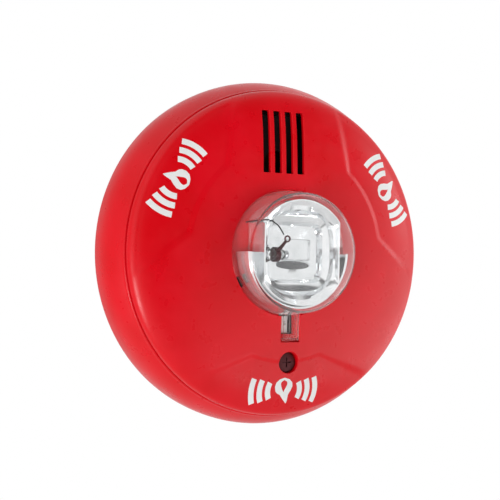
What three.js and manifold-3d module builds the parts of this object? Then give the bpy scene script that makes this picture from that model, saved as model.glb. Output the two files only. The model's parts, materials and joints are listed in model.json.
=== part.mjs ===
// A round horn strobe for a ceiling or a wall, in millimetres.
// The parts are drawn in a lying frame: x to the right, y up the wall and z straight out of it, with
// the wall at z = 0. The last lines stand the whole group up, so that in the exported group +Z is up
// and the face looks along -Y. The mounting plate is screwed to an electrical box. The head hooks
// onto the plate at the top, swings shut, plugs its blades into the plate's contact clips and is held
// by one captive screw at the bottom.
import * as THREE from "three";
import { mergeVertices } from "three/addons/utils/BufferGeometryUtils.js";
import Module from "manifold-3d";

const wasm = await Module();
wasm.setup();

// ---- Clearances ---------------------------------------------------------------------------------
const seat = 0.3; // between two pieces that rest on each other
const slip = 0.5; // around a piece that passes through another
const casingSides = 48; // flat sides that the large turned pieces are made of
const cutOver = 1; // how far a cutting tool runs past the faces it cuts

// ---- Casing, measured from the middle line ------------------------------------------------------
const bodyR = 86.5;
const wall = 2.3;
const backDraft = 0.6; // the skirt is this much smaller at its back edge
const bulgeZ = 9; // height at which the skirt is widest
const shoulderIn = 6.5; // how far the skirt's shoulder leans in to the seam
const shoulderPower = 2.2;
const skirtBackZ = 1.6; // the skirt stands this far off the wall
const coverR = bodyR - shoulderIn;
const coverRise = 12; // from the seam to the middle of the front cover
const coverPower = 3; // of the superellipse that the front cover's section follows

// ---- Stack from the wall outwards ---------------------------------------------------------------
const plateT = 2.4;
const wiringBay = 10.6;
const rearT = 2;
const switchBay = 5;
const boardT = 1.6;
const componentBay = 15.3;
const facetDepth = 0.8;
const rearZ = plateT + wiringBay;
const rearTopZ = rearZ + rearT;
const boardZ = rearTopZ + switchBay;
const boardTopZ = boardZ + boardT;
const bayTopZ = boardTopZ + componentBay;
const crownZ = bayTopZ + facetDepth + wall;
const seamZ = crownZ - coverRise;

// ---- Facets pressed into the cover, three of them -----------------------------------------------
const facetAngles = [30, 150, 270];
const creaseR = 51.5; // inner edge of a facet
const creaseKink = { out: 48, side: 18.4 }; // where the round inner edge turns into a straight one
const creaseSlope = { out: 0.36, side: 0.933 }; // direction of that straight edge
const creaseWidth = 3;
const facetFade = 7; // a facet dies out over this width before the seam

// ---- Lens, reflector and flash tube -------------------------------------------------------------
const lensR = 30.4;
const lensDraft = 1.7; // the lens's barrel narrows by this much towards its front
const lensTopR = lensR - lensDraft;
const lensRise = 24; // from the cover's crown to the lens's top
const barrelRise = 13;
const shoulderR = 3.4;
const lensWall = 1.8;
const lensHoleR = lensR + slip;
const recessDepth = 3.6;
const recessWall = 1.8;
const seatHoleR = 19.5; // opening in the recess floor for the reflector's stem
const recessFloorZ = crownZ - recessDepth;
const lensBaseZ = recessFloorZ + seat;
const lensTopZ = crownZ + lensRise;
const legWidth = 5;
const legThick = 1.4;
const legAngles = [90, 210, 330];
const windowHalfW = 4.45;
const windowLength = 12.3; // how far the window reaches past the lens
const windowX = 1.5; // the window and the captive screw share a line just right of the middle
const windowWall = 1.4;
const windowGap = 0.7;
const windowProud = 0.5;
const windowEndY = -(lensR + windowLength);
const reflectorInset = 3; // between the lens's inside and the reflector's rim
const reflectorFlat = 5.2; // how much the reflector's two sides are cut back to flats
const reflectorH = 16;
const reflectorFlange = 1.2;
const bowlWall = 1.6;
// The half ring closes the lens below the reflector's middle.
const halfRing = { w: 1.2, h: 13, gap: 1.8 };
const tubeR = 2.6;
const tubeL = 9.2;
const tubeY = -1.1;
const tubeRise = 9.7; // height of the flash tube above the recess floor
const tubeCapR = 2;
const tubeCapL = 1.5;
const stemWall = 1.2; // of the tube that carries the reflector from the board
const leadR = 0.5;
const wireR = 0.35;
const eyelet = { x: -6.6, y: 6.4, rise: 13, r: 1.3 };
const wireHoleGap = 1.2; // from the reflector's left flat to the trigger wire
const wireHoleR = 1;
const lensInR = lensR - lensWall;
const reflectorR = lensInR - reflectorInset;
const reflectorHalfW = reflectorR - reflectorFlat;
const reflectorStemR = seatHoleR - slip;
const reflectorZ = recessFloorZ + seat;
const tubeZ = recessFloorZ + tubeRise;
const wireHole = { x: -(reflectorHalfW + wireHoleGap), y: 14, r: wireHoleR };
const stemInR = reflectorStemR - stemWall;
const tubeLeftX = -stemInR + leadR + slip + tubeCapL / 2 + seat;
const tubeRightX = tubeLeftX + tubeL;

// ---- Grille and horn ----------------------------------------------------------------------------
const slotCount = 4;
const slotW = 3.9;
const slotPitch = 6.2;
const grilleX = -3.5;
const slotInnerY = lensHoleR + 7.6;
const slotOuterY = coverR - 11;
const hornR = 19;
const hornWall = 1.6;
const throatR = 6;
const hornDepth = 5.8;
const ductWall = 1.8;
const piezoR = hornR - hornWall - slip;
const piezoT = 0.6;

// ---- Captive screw ------------------------------------------------------------------------------
const screwDrop = 10.8; // from the window's end to the captive screw
const screwY = windowEndY - screwDrop;
const screwR = 2.1;
const screwHeadR = 4.8;
const screwHeadH = 3.2;
const wellR = 5.2;
const wellWall = 2;
const guideR = 4.4; // bore below the well's floor, in which the retaining washer travels
const wellFloorZ = crownZ - 9.5; // leaves the screw's head about 3 mm below the face
const wellFloorT = 2;
const screwTravel = 4.8;
const washerT = 1;
const screwTipZ = 3.4;
const screwBossH = 5.2;

// ---- Mounting plate -----------------------------------------------------------------------------
const plateGap = 4.2; // between the plate and the inside of the skirt
const plateR = bodyR - wall - plateGap;
const plateLipH = 2;
const plateLipW = 1.8;
const wireOpening = { halfW: 22, near: 18, far: 43 };
const boxSlot = { near: 42, far: 51, halfW: 2.1 };
const gangSlot = { x: 41.65, halfL: 5, halfW: 2.1 };
const hookX = 14;
const hookHalfW = 4;
const hookLugR = 0.9;
const hookWebT = 1.4;
const hookArmT = 1.6;
const hookZ = 1.5;
const hookReach = 3.9;
const railT = 2;
const railDepth = 5.3;

// ---- Terminals ----------------------------------------------------------------------------------
const terminalPitch = 13;
const terminalCount = 4;
const blockHalfW = 27;
const blockLowY = -9;
const blockHighY = 11.4;
const blockH = 4.5;
const blockTopZ = plateT + seat + blockH;
const terminalScrewY = -3;
const bladeY = 7;
const bladeHalfW = 2.3;
const bladeT = 0.8;
const clipT = 0.6;
const clipHalfW = 2.8;
const clipGapHalf = 0.75;
const springY = 14.2;
const springHalfW = 8;
const springT = 0.5;
const springPostGap = 0.6;

// ---- Selectors on the back of the head ----------------------------------------------------------
const dial = { x: -30, y: -12, r: 4.4, bodyHalf: 5.6 };
const sliderTravel = 20;
const sliderX = -12;
const sliderY = -(lensR + 4.6);
const stripRightX = windowX + 2.3;
const stripLeftX = stripRightX - sliderTravel - 7;
const stripHalfH = 4.2;
const stripT = 1.2;
const stripTopZ = recessFloorZ - recessWall - 0.4;

// ---- Board --------------------------------------------------------------------------------------
const coilX = -42;
const coilHalfW = 5;
const boardR = bodyR - 21.5;
const boardPostR = boardR - 7;
const boardPostAngles = [45, 135, 225, 315];
const ledgeInR = boardR + 2.5;
const coverScrewR = bodyR - 13.5;
const coverScrewAngles = [22, 158, 202, 338];

// ---- Materials ----------------------------------------------------------------------------------
function plain(color, roughness, metalness = 0) {
  return new THREE.MeshStandardMaterial({ color, roughness, metalness });
}
const redPlastic = plain(0xd2101c, 0.42);
const greyPlastic = plain(0x3a3c3f, 0.6);
const blackPlastic = plain(0x121213, 0.55);
const whitePlastic = plain(0xeeeeea, 0.45);
const platePlastic = plain(0xd9d8d2, 0.5);
const chromePlating = plain(0xe4e8ea, 0.08, 1);
const steel = plain(0xb9bcc0, 0.3, 1);
const brass = plain(0xc9a24a, 0.3, 1);
const copper = plain(0xb06a35, 0.35, 1);
const boardGreen = plain(0x1d5a34, 0.5);
const capacitorSleeve = plain(0x1c2340, 0.4);
const clearLens = new THREE.MeshStandardMaterial({
  color: 0xf2f6f8,
  roughness: 0.05,
  transparent: true,
  opacity: 0.35,
});

// ---- Shapes -------------------------------------------------------------------------------------
function radians(degrees) {
  return (degrees * Math.PI) / 180;
}

function polar(r, degrees) {
  return [r * Math.cos(radians(degrees)), r * Math.sin(radians(degrees))];
}

// A closed three.js geometry as a manifold solid. Shared vertices are merged and
// empty triangles dropped.
function solid(geometry) {
  const bare = new THREE.BufferGeometry();
  const loose = geometry.index ? geometry.toNonIndexed() : geometry;
  bare.setAttribute("position", loose.getAttribute("position"));
  const merged = mergeVertices(bare, 1e-4);
  const corners = merged.index.array;
  const kept = [];
  for (let i = 0; i < corners.length; i += 3) {
    const [a, b, c] = corners.slice(i, i + 3);
    if (a !== b && b !== c && c !== a) kept.push(a, b, c);
  }
  return new wasm.Manifold(
    new wasm.Mesh({
      numProp: 3,
      vertProperties: merged.attributes.position.array,
      triVerts: new Uint32Array(kept),
    }),
  );
}

// A block between two values on each axis.
function block([x0, x1], [y0, y1], [z0, z1]) {
  const box = new THREE.BoxGeometry(x1 - x0, y1 - y0, z1 - z0);
  return solid(box.translate((x0 + x1) / 2, (y0 + y1) / 2, (z0 + z1) / 2));
}

// A round bar along z, standing at (x, y) from z0 to z1.
function rod(r, [z0, z1], [x, y] = [0, 0], segments = 24) {
  const bar = new THREE.CylinderGeometry(r, r, z1 - z0, segments);
  return solid(bar.rotateX(Math.PI / 2).translate(x, y, (z0 + z1) / 2));
}

// A round bar along x.
function crossRod(r, [x0, x1], [y, z], segments = 16) {
  const bar = new THREE.CylinderGeometry(r, r, x1 - x0, segments);
  return solid(bar.rotateZ(Math.PI / 2).translate((x0 + x1) / 2, y, z));
}

// A profile of [r, z] points turned about z. The profile may run either way round.
function turnedGeometry(profile, segments) {
  const area = profile.reduce((sum, [r, z], i) => {
    const [r1, z1] = profile[(i + 1) % profile.length];
    return sum + r * z1 - r1 * z;
  }, 0);
  const way = area > 0 ? profile : [...profile].reverse();
  const points = way.map(([r, z]) => new THREE.Vector2(r, z));
  const closed = profile[0][0] > 0 || profile.at(-1)[0] > 0;
  if (closed) points.push(points[0].clone());
  return new THREE.LatheGeometry(points, segments).rotateX(Math.PI / 2);
}

function turned(profile, segments = 48) {
  return solid(turnedGeometry(profile, segments));
}

// A slot with round ends, cut along a direction given in degrees, from one radius to another.
function radialSlot(near, far, halfW, degrees, [z0, z1]) {
  const shape = new THREE.Shape();
  shape.moveTo(near, -halfW);
  shape.lineTo(far, -halfW);
  shape.absarc(far, 0, halfW, -Math.PI / 2, Math.PI / 2, false);
  shape.lineTo(near, halfW);
  shape.absarc(near, 0, halfW, Math.PI / 2, (3 * Math.PI) / 2, false);
  const cut = new THREE.ExtrudeGeometry(shape, {
    depth: z1 - z0,
    bevelEnabled: false,
    curveSegments: 6,
  });
  return solid(cut.translate(0, 0, z0).rotateZ(radians(degrees)));
}

// A round wire that follows a list of points.
function wire(points, r, steps) {
  const path = new THREE.CatmullRomCurve3(
    points.map(([x, y, z]) => new THREE.Vector3(x, y, z)),
    false,
    "catmullrom",
    0.2,
  );
  const ring = new THREE.Shape().absarc(0, 0, r, 0, 2 * Math.PI, false);
  return solid(
    new THREE.ExtrudeGeometry(ring, {
      steps,
      extrudePath: path,
      curveSegments: 4,
    }),
  );
}

function span(count) {
  return [...Array(count).keys()];
}

const root = new THREE.Group();

function addPiece(name, shape, material) {
  const { vertProperties, triVerts } = shape.getMesh();
  const geometry = new THREE.BufferGeometry();
  geometry.setAttribute(
    "position",
    new THREE.BufferAttribute(vertProperties, 3),
  );
  geometry.setIndex(new THREE.BufferAttribute(triVerts, 1));
  const mesh = new THREE.Mesh(geometry, material);
  mesh.name = name;
  root.add(mesh);
}

// ---- Casing -------------------------------------------------------------------------------------
// Radius of the skirt's outside: a slight draft below the bulge and a curve that leans in above it.
function skirtR(z) {
  if (z < bulgeZ) return bodyR - backDraft * ((bulgeZ - z) / bulgeZ) ** 2;
  return (
    bodyR - shoulderIn * ((z - bulgeZ) / (seamZ - bulgeZ)) ** shoulderPower
  );
}

function makeSkirt() {
  const topZ = seamZ - seat;
  const ledgeZ = rearTopZ + seat;
  const ledgeTopZ = ledgeZ + rearT;
  const heights = (from, to, count) =>
    span(count + 1).map((i) => from + ((to - from) * i) / count);
  const outside = heights(skirtBackZ, bulgeZ, 1)
    .concat(heights(bulgeZ, topZ, 5).slice(1))
    .map((z) => [skirtR(z), z]);
  const insideAbove = heights(topZ, ledgeTopZ, 3).map((z) => [
    skirtR(z) - wall,
    z,
  ]);
  const insideBelow = [ledgeZ, skirtBackZ].map((z) => [skirtR(z) - wall, z]);
  const ledge = [
    [ledgeInR, ledgeTopZ],
    [ledgeInR, ledgeZ],
  ];
  let shape = turned([...outside, ...insideAbove, ...ledge, ...insideBelow], casingSides);
  for (const angle of coverScrewAngles) {
    const place = polar(coverScrewR, angle);
    shape = shape.subtract(
      rod(1.5 + slip, [ledgeZ - cutOver, ledgeTopZ + cutOver], place, 12),
    );
  }
  addPiece("skirt", shape, redPlastic);
}

// How deep the facets lie under the cover's turned surface at (x, y).
function facetDrop(x, y) {
  const r = Math.hypot(x, y);
  let depth = 0;
  for (const angle of facetAngles) {
    const [cos, sin] = polar(1, angle);
    const out = x * cos + y * sin;
    const side = Math.abs(y * cos - x * sin);
    const pastLine =
      (out - creaseKink.out) * creaseSlope.side -
      (side - creaseKink.side) * creaseSlope.out;
    const inside = out > 0 ? Math.min(r - creaseR, pastLine) : 0;
    const share = Math.min(Math.max(inside / creaseWidth, 0), 1);
    depth += facetDepth * share * share * (3 - 2 * share);
  }
  const toSeam = Math.min(Math.max((coverR - r) / facetFade, 0), 1);
  return depth * toSeam;
}

// Height of the cover's outside at radius r.
function faceZ(r) {
  const share = 1 - (r / coverR) ** coverPower;
  return seamZ + coverRise * share ** (1 / coverPower);
}

// The same superellipse, drawn in by an inset, between two angles on its generating circle.
function archLine(inset, fromDegrees, toDegrees, steps) {
  return span(steps + 1).map((i) => {
    const a = radians(fromDegrees + ((toDegrees - fromDegrees) * i) / steps);
    return [
      (coverR - inset) * Math.cos(a) ** (2 / coverPower),
      seamZ + (coverRise - inset) * Math.sin(a) ** (2 / coverPower),
    ];
  });
}

// The angle at which the drawn-in superellipse passes a radius.
function archAngle(inset, r) {
  const cosine = (r / (coverR - inset)) ** (coverPower / 2);
  return (Math.acos(cosine) * 180) / Math.PI;
}

const spigotOutR = coverR - wall - seat;
const spigotInR = spigotOutR - wall;
const rimSteps = 6;

// Outside and inside of the cover between the lens's recess and the rim.
function coverOutside() {
  const radii = [lensHoleR, creaseR, creaseR + creaseWidth];
  const rimFrom = archAngle(0, creaseR + 2.6 * creaseWidth);
  return [
    ...radii.map((r) => [r, faceZ(r)]),
    ...archLine(0, rimFrom, 0, rimSteps + 1),
  ];
}

function coverInside() {
  const radii = [lensHoleR + recessWall, creaseR, creaseR + creaseWidth];
  const rimFrom = archAngle(wall, creaseR + 2.6 * creaseWidth);
  const onArch = (r) => archLine(wall, archAngle(wall, r), 0, 1)[0];
  return [
    ...radii.map(onArch),
    ...archLine(wall, rimFrom, archAngle(wall, spigotInR), 4),
  ];
}

function coverShell() {
  const spigotZ = seamZ - 4;
  const recess = [
    [lensHoleR + recessWall, recessFloorZ - recessWall],
    [seatHoleR, recessFloorZ - recessWall],
    [seatHoleR, recessFloorZ],
    [lensHoleR, recessFloorZ],
  ];
  const profile = [
    ...coverOutside(),
    [spigotOutR, seamZ],
    [spigotOutR, spigotZ],
    [spigotInR, spigotZ],
    ...coverInside().reverse(),
    ...recess,
  ];
  const geometry = turnedGeometry(profile, casingSides);
  const position = geometry.getAttribute("position");
  for (let i = 0; i < position.count; i++) {
    const drop = facetDrop(position.getX(i), position.getY(i));
    const z = position.getZ(i);
    if (z > seamZ + seat) position.setZ(i, z - drop);
  }
  return solid(geometry);
}

function slotX(index) {
  return grilleX + (index - (slotCount - 1) / 2) * slotPitch;
}

function makeFrontCover() {
  const screwPlace = [windowX, screwY];
  const sunk = facetDepth + 0.7;
  const underFace = turned(
    [
      [0, rearTopZ],
      [0, crownZ - sunk],
      ...coverOutside().map(([r, z]) => [r - sunk, z - sunk]),
      [coverR - sunk, rearTopZ],
    ],
    casingSides,
  );
  let shape = coverShell();
  for (const angle of coverScrewAngles) {
    const place = polar(coverScrewR, angle);
    const bossZ = rearTopZ + 2 * seat + rearT;
    const boss = rod(3.6, [bossZ, crownZ], place, 16);
    shape = shape.add(boss.intersect(underFace));
    shape = shape.subtract(rod(1.8, [bossZ - cutOver, bossZ + 11], place, 12));
  }
  for (const angle of boardPostAngles) {
    const place = polar(boardPostR, angle);
    const postZ = boardTopZ + seat;
    const post = rod(3.2, [postZ, crownZ], place, 16);
    shape = shape.add(post.intersect(underFace));
    shape = shape.subtract(rod(1.4, [postZ - cutOver, postZ + 9], place, 12));
  }
  const wellZ = rearTopZ + seat;
  const well = rod(wellR + wellWall, [wellZ, crownZ], screwPlace, 28);
  shape = shape.add(well.intersect(underFace));
  const wellCuts = [
    rod(guideR, [wellZ - cutOver, wellFloorZ], screwPlace, 24),
    rod(screwR + slip, [wellFloorZ - cutOver, crownZ], screwPlace),
    rod(wellR, [wellFloorZ + wellFloorT, crownZ + cutOver], screwPlace, 28),
  ];
  const slots = span(slotCount).map((i) =>
    block(
      [slotX(i) - slotW / 2, slotX(i) + slotW / 2],
      [slotInnerY, slotOuterY],
      [seamZ, crownZ + cutOver],
    ),
  );
  const notch = block(
    [windowX - windowHalfW - windowGap, windowX + windowHalfW + windowGap],
    [windowEndY - windowGap, -seatHoleR - 6],
    [recessFloorZ - recessWall - cutOver, crownZ + cutOver],
  );
  const legHoles = legAngles.map((angle) => {
    const hole = block(
      [-legWidth / 2 - slip, legWidth / 2 + slip],
      [lensR - legThick - 2.2 - slip, lensHoleR],
      [recessFloorZ - recessWall - cutOver, recessFloorZ + cutOver],
    );
    return hole.rotate([0, 0, angle - 90]);
  });
  const recessCut = [recessFloorZ - recessWall - cutOver, recessFloorZ + cutOver];
  const wirePass = rod(wireHole.r, recessCut, [wireHole.x, wireHole.y], 12);
  for (const cut of [...wellCuts, ...slots, notch, ...legHoles, wirePass])
    shape = shape.subtract(cut);
  addPiece("front_cover", shape, redPlastic);
}

// Height above the plate's axis at which the two hooks hang.
const skirtInR = skirtR(rearTopZ + seat) - wall;
const hookArmOutY = Math.sqrt(
  (skirtInR - 2 * slip) ** 2 - (hookX + hookHalfW) ** 2,
);
const hookY = hookArmOutY - hookReach;

function makeRearCover() {
  const rearR = skirtInR - slip;
  let shape = rod(rearR, [rearZ, rearTopZ], [0, 0], casingSides);
  for (const side of [-1, 1]) {
    const across = [side * hookX - hookHalfW, side * hookX + hookHalfW];
    const arm = block(
      across,
      [hookArmOutY - hookArmT, hookArmOutY],
      [hookZ - hookWebT / 2, rearTopZ],
    );
    const web = block(
      across,
      [hookY, hookArmOutY],
      [hookZ - hookWebT / 2, hookZ + hookWebT / 2],
    );
    shape = shape.add(arm).add(web);
    shape = shape.add(crossRod(hookLugR, across, [hookY, hookZ], 12));
  }
  const postY = springY - springT / 2 - springPostGap - 1.2;
  shape = shape.add(
    block([-2, 2], [postY, postY + 1.2], [plateT + 4, rearZ + rearT / 2]),
  );
  const through = [rearZ - cutOver, rearTopZ + cutOver];
  const cuts = span(terminalCount).map((i) =>
    block(
      [terminalX(i) - bladeT / 2 - slip, terminalX(i) + bladeT / 2 + slip],
      [bladeY - bladeHalfW - slip, bladeY + bladeHalfW + slip],
      through,
    ),
  );
  cuts.push(
    block(
      [sliderX - 2, sliderX + sliderTravel + 2],
      [sliderY - 2, sliderY + 2],
      through,
    ),
    rod(dial.r + 0.8, through, [dial.x, dial.y], 32),
    rod(screwR + slip, through, [windowX, screwY]),
  );
  for (const angle of coverScrewAngles)
    cuts.push(rod(1.5 + slip, through, polar(coverScrewR, angle), 12));
  for (const cut of cuts) shape = shape.subtract(cut);
  addPiece("rear_cover", shape, greyPlastic);
}

function makeCoverScrews() {
  coverScrewAngles.forEach((angle, i) => {
    const place = polar(coverScrewR, angle);
    const head = rod(2.8, [rearZ - seat - 1.8, rearZ - seat], place, 16);
    const shank = rod(1.5, [rearZ - seat, rearTopZ + 11], place, 12);
    addPiece(`cover_screw_${i + 1}`, head.add(shank), steel);
  });
}

// ---- Lens and light -----------------------------------------------------------------------------
// The lens's outside from the middle of its front down to its foot. An inset moves it in by a wall.
function lensLine(inset) {
  const barrelTopZ = crownZ + barrelRise;
  const arcR = shoulderR - inset;
  const domeEdgeR = lensTopR - shoulderR * 0.5;
  const domeEdgeZ = barrelTopZ + shoulderR * 0.87;
  const sag = lensTopZ - domeEdgeZ;
  const domeR = (domeEdgeR ** 2 + sag ** 2) / (2 * sag);
  const reach = Math.asin(domeEdgeR / domeR);
  const dome = span(4).map((i) => {
    const a = (reach * i) / 3;
    const r = (domeR - inset) * Math.sin(a);
    return [r, lensTopZ - domeR + (domeR - inset) * Math.cos(a)];
  });
  const shoulder = [35, 60, 90].map((degrees) => [
    lensTopR - shoulderR + arcR * Math.sin(radians(degrees)),
    barrelTopZ + arcR * Math.cos(radians(degrees)),
  ]);
  const line = [...dome.slice(0, -1), ...shoulder, [lensR - inset, lensBaseZ]];
  line[0][0] = 0;
  return line;
}

function makeLens() {
  let shape = turned([...lensLine(0), ...lensLine(lensWall).reverse()], 44);
  const windowTop = faceZ(lensR) + windowProud;
  const across = [windowX - windowHalfW, windowX + windowHalfW];
  const box = block(
    across,
    [windowEndY, -lensR + lensWall],
    [lensBaseZ, windowTop],
  );
  const pocket = block(
    [across[0] + windowWall, across[1] - windowWall],
    [windowEndY + windowWall, -lensR - 0.2],
    [lensBaseZ - cutOver, windowTop - windowWall],
  );
  shape = shape.add(box.subtract(pocket));
  for (const angle of legAngles) {
    const leg = block(
      [-legWidth / 2, legWidth / 2],
      [lensR - legThick - 0.4, lensR - 0.4],
      [recessFloorZ - recessWall - seat - 1.2, lensBaseZ + 1],
    );
    const barb = block(
      [-legWidth / 2, legWidth / 2],
      [lensR - legThick - 1.4, lensR - 0.4],
      [
        recessFloorZ - recessWall - seat - 1.2,
        recessFloorZ - recessWall - seat,
      ],
    );
    shape = shape.add(leg.add(barb).rotate([0, 0, angle - 90]));
  }
  addPiece("lens", shape, clearLens);
}

function legClearance(z) {
  return legAngles.map((angle) =>
    block(
      [-legWidth / 2 - slip, legWidth / 2 + slip],
      [lensR - legThick - 2, lensR],
      z,
    ).rotate([0, 0, angle - 90]),
  );
}

// Places of the two leads that carry the flash tube.
const leadXs = [tubeLeftX - seat - tubeCapL / 2, tubeRightX + seat + tubeCapL / 2];

function makeReflector() {
  const topZ = reflectorZ + reflectorH;
  const floorZ = reflectorZ + 2;
  const bowlR = reflectorR - bowlWall;
  const outline = turned([
    [0, reflectorZ],
    [reflectorR, reflectorZ],
    [reflectorR - 1, topZ],
    [0, topZ],
  ]);
  const sides = block(
    [-reflectorHalfW, reflectorHalfW],
    [-reflectorR, reflectorR],
    [reflectorZ, topZ],
  );
  const flange = rod(reflectorR, [reflectorZ, reflectorZ + reflectorFlange], [0, 0], 48);
  const stem = rod(reflectorStemR, [boardTopZ + seat, reflectorZ + 1], [0, 0], 32);
  const ringR = lensInR - halfRing.gap;
  const ringZ = [reflectorZ, reflectorZ + halfRing.h];
  const ring = turned([
    [ringR - halfRing.w, ringZ[0]],
    [ringR, ringZ[0]],
    [ringR, ringZ[1]],
    [ringR - halfRing.w, ringZ[1]],
  ]);
  const lowerHalf = block([-lensR, lensR], [-lensR, 0], ringZ);
  const web = rod(ringR, [reflectorZ, reflectorZ + reflectorFlange], [0, 0], 48);
  let shape = sides.intersect(outline).add(flange).add(stem);
  shape = shape.add(ring.add(web).intersect(lowerHalf));
  const bowl = turned([
    [0, floorZ],
    [bowlR * 0.4, floorZ],
    [bowlR * 0.72, floorZ + reflectorH * 0.3],
    [bowlR * 0.92, floorZ + reflectorH * 0.66],
    [bowlR, topZ + cutOver],
    [0, topZ + cutOver],
  ]);
  const bowlSides = block(
    [-reflectorHalfW + bowlWall, reflectorHalfW - bowlWall],
    [-reflectorR, reflectorR],
    [reflectorZ, topZ + cutOver],
  );
  const tubeRoom = block(
    [tubeLeftX - seat - tubeCapL - slip, tubeRightX + seat + tubeCapL + slip],
    [tubeY - tubeR - 1.2, tubeY + tubeR + 1.2],
    [tubeZ - tubeR - 1.2, topZ + cutOver],
  );
  const cuts = [
    rod(
      stemInR,
      [boardTopZ - cutOver, reflectorZ + 0.6],
      [0, 0],
      32,
    ),
    bowl.intersect(bowlSides),
    tubeRoom,
    rod(wireHole.r, [reflectorZ - cutOver, topZ], [wireHole.x, wireHole.y], 12),
    block(
      [wireHole.x - 2, wireHole.x + 12],
      [wireHole.y - 0.6, wireHole.y + 2.2],
      [topZ - 1.6, topZ + cutOver],
    ),
    ...leadXs.map((x) => rod(leadR + slip, [reflectorZ - cutOver, tubeZ], [x, tubeY], 12)),
    ...legClearance([reflectorZ - cutOver, reflectorZ + halfRing.h + cutOver]),
  ];
  for (const cut of cuts) shape = shape.subtract(cut);
  addPiece("reflector", shape, chromePlating);
}

function makeFlashTube() {
  const glass = crossRod(tubeR, [tubeLeftX, tubeRightX], [tubeY, tubeZ], 20);
  addPiece("flash_tube", glass, clearLens);
  ["left", "right"].forEach((name, i) => {
    const across = [leadXs[i] - tubeCapL / 2, leadXs[i] + tubeCapL / 2];
    const cap = crossRod(tubeCapR, across, [tubeY, tubeZ], 16);
    const lead = rod(leadR, [boardTopZ + seat, tubeZ], [leadXs[i], tubeY], 8);
    addPiece(`tube_cap_${name}`, cap.add(lead), steel);
  });
}

// The clip grips the tube's glass and ends in an eyelet, where the wire from the trigger coil arrives.
function makeTrigger() {
  const eyeletZ = recessFloorZ + eyelet.rise;
  const clipX = (tubeLeftX + tubeRightX) / 2;
  const bandR = tubeR + seat;
  const band = crossRod(bandR + 0.7, [clipX - 1.4, clipX + 1.4], [tubeY, tubeZ]);
  const bandBore = crossRod(bandR, [clipX - 2, clipX + 2], [tubeY, tubeZ], 20);
  const arm = wire(
    [
      [clipX, tubeY + bandR * 0.6, tubeZ + bandR * 0.9],
      [clipX + 1.6, tubeY + bandR + 1, eyeletZ - 0.3],
      [eyelet.x - eyelet.r * 0.6, eyelet.y - eyelet.r * 0.8, eyeletZ],
    ],
    0.75,
    8,
  );
  const ring = new THREE.TorusGeometry(eyelet.r, 0.45, 8, 20);
  ring.translate(eyelet.x, eyelet.y, eyeletZ);
  const clip = arm.subtract(bandBore).add(band.subtract(bandBore));
  addPiece("trigger_clip", clip.add(solid(ring)), blackPlastic);
  const rimZ = reflectorZ + reflectorH - 0.8;
  const points = [
    [coilX + coilHalfW + 2 * seat, 7, boardTopZ + 5],
    [wireHole.x - 8, 10.5, boardTopZ + 6],
    [wireHole.x - 1, wireHole.y - 0.5, recessFloorZ - 5],
    [wireHole.x, wireHole.y, recessFloorZ],
    [wireHole.x, wireHole.y + 0.5, rimZ - 1.5],
    [wireHole.x + 1.4, wireHole.y + 0.8, rimZ],
    [wireHole.x + 5, wireHole.y + 0.6, rimZ - 0.2],
    [eyelet.x - 5.4, eyelet.y + 5.8, eyeletZ + 1],
    [eyelet.x - eyelet.r - 0.7, eyelet.y + eyelet.r + 0.7, eyeletZ],
  ];
  addPiece("trigger_wire", wire(points, wireR, 32), blackPlastic);
}

// ---- Board and electronics ----------------------------------------------------------------------
function makeBoard() {
  const through = [boardZ - cutOver, boardTopZ + cutOver];
  let shape = rod(boardR, [boardZ, boardTopZ], [0, 0], 48);
  const cuts = [
    rod(wellR + wellWall + 0.8, through, [windowX, screwY], 32),
    block(
      [sliderX - 2.5, sliderX + sliderTravel + 2.5],
      [sliderY - 2.2, sliderY + 2.2],
      through,
    ),
    block(
      [windowX - 5, windowX + 5],
      [-boardR - 2, screwY],
      through,
    ),
  ];
  for (const angle of boardPostAngles)
    cuts.push(rod(1.7, through, polar(boardPostR, angle), 12));
  for (const cut of cuts) shape = shape.subtract(cut);
  addPiece("circuit_board", shape, boardGreen);
  boardPostAngles.forEach((angle, i) => {
    const place = polar(boardPostR, angle);
    const head = rod(2.6, [boardZ - seat - 1.6, boardZ - seat], place, 16);
    const shank = rod(1.1, [boardZ - seat, boardTopZ + 7], place, 12);
    addPiece(`board_screw_${i + 1}`, head.add(shank), steel);
  });
}

function makeElectronics() {
  const onBoard = boardTopZ + seat;
  const canR = 6.2;
  const can = new THREE.CylinderGeometry(canR, canR, 28, 28);
  can.translate(43, -4, onBoard + canR);
  addPiece("flash_capacitor", solid(can), capacitorSleeve);
  const coil = block(
    [coilX - coilHalfW, coilX + coilHalfW],
    [-4, 8],
    [onBoard, bayTopZ - 6],
  );
  addPiece("trigger_coil", coil, blackPlastic);
  addPiece("inductor", rod(5.5, [onBoard, bayTopZ - 7], [-38, -20]), copper);
  const chip = block([22, 31], [-33, -24], [onBoard, onBoard + 1.4]);
  addPiece("controller_chip", chip, blackPlastic);
}

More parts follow.
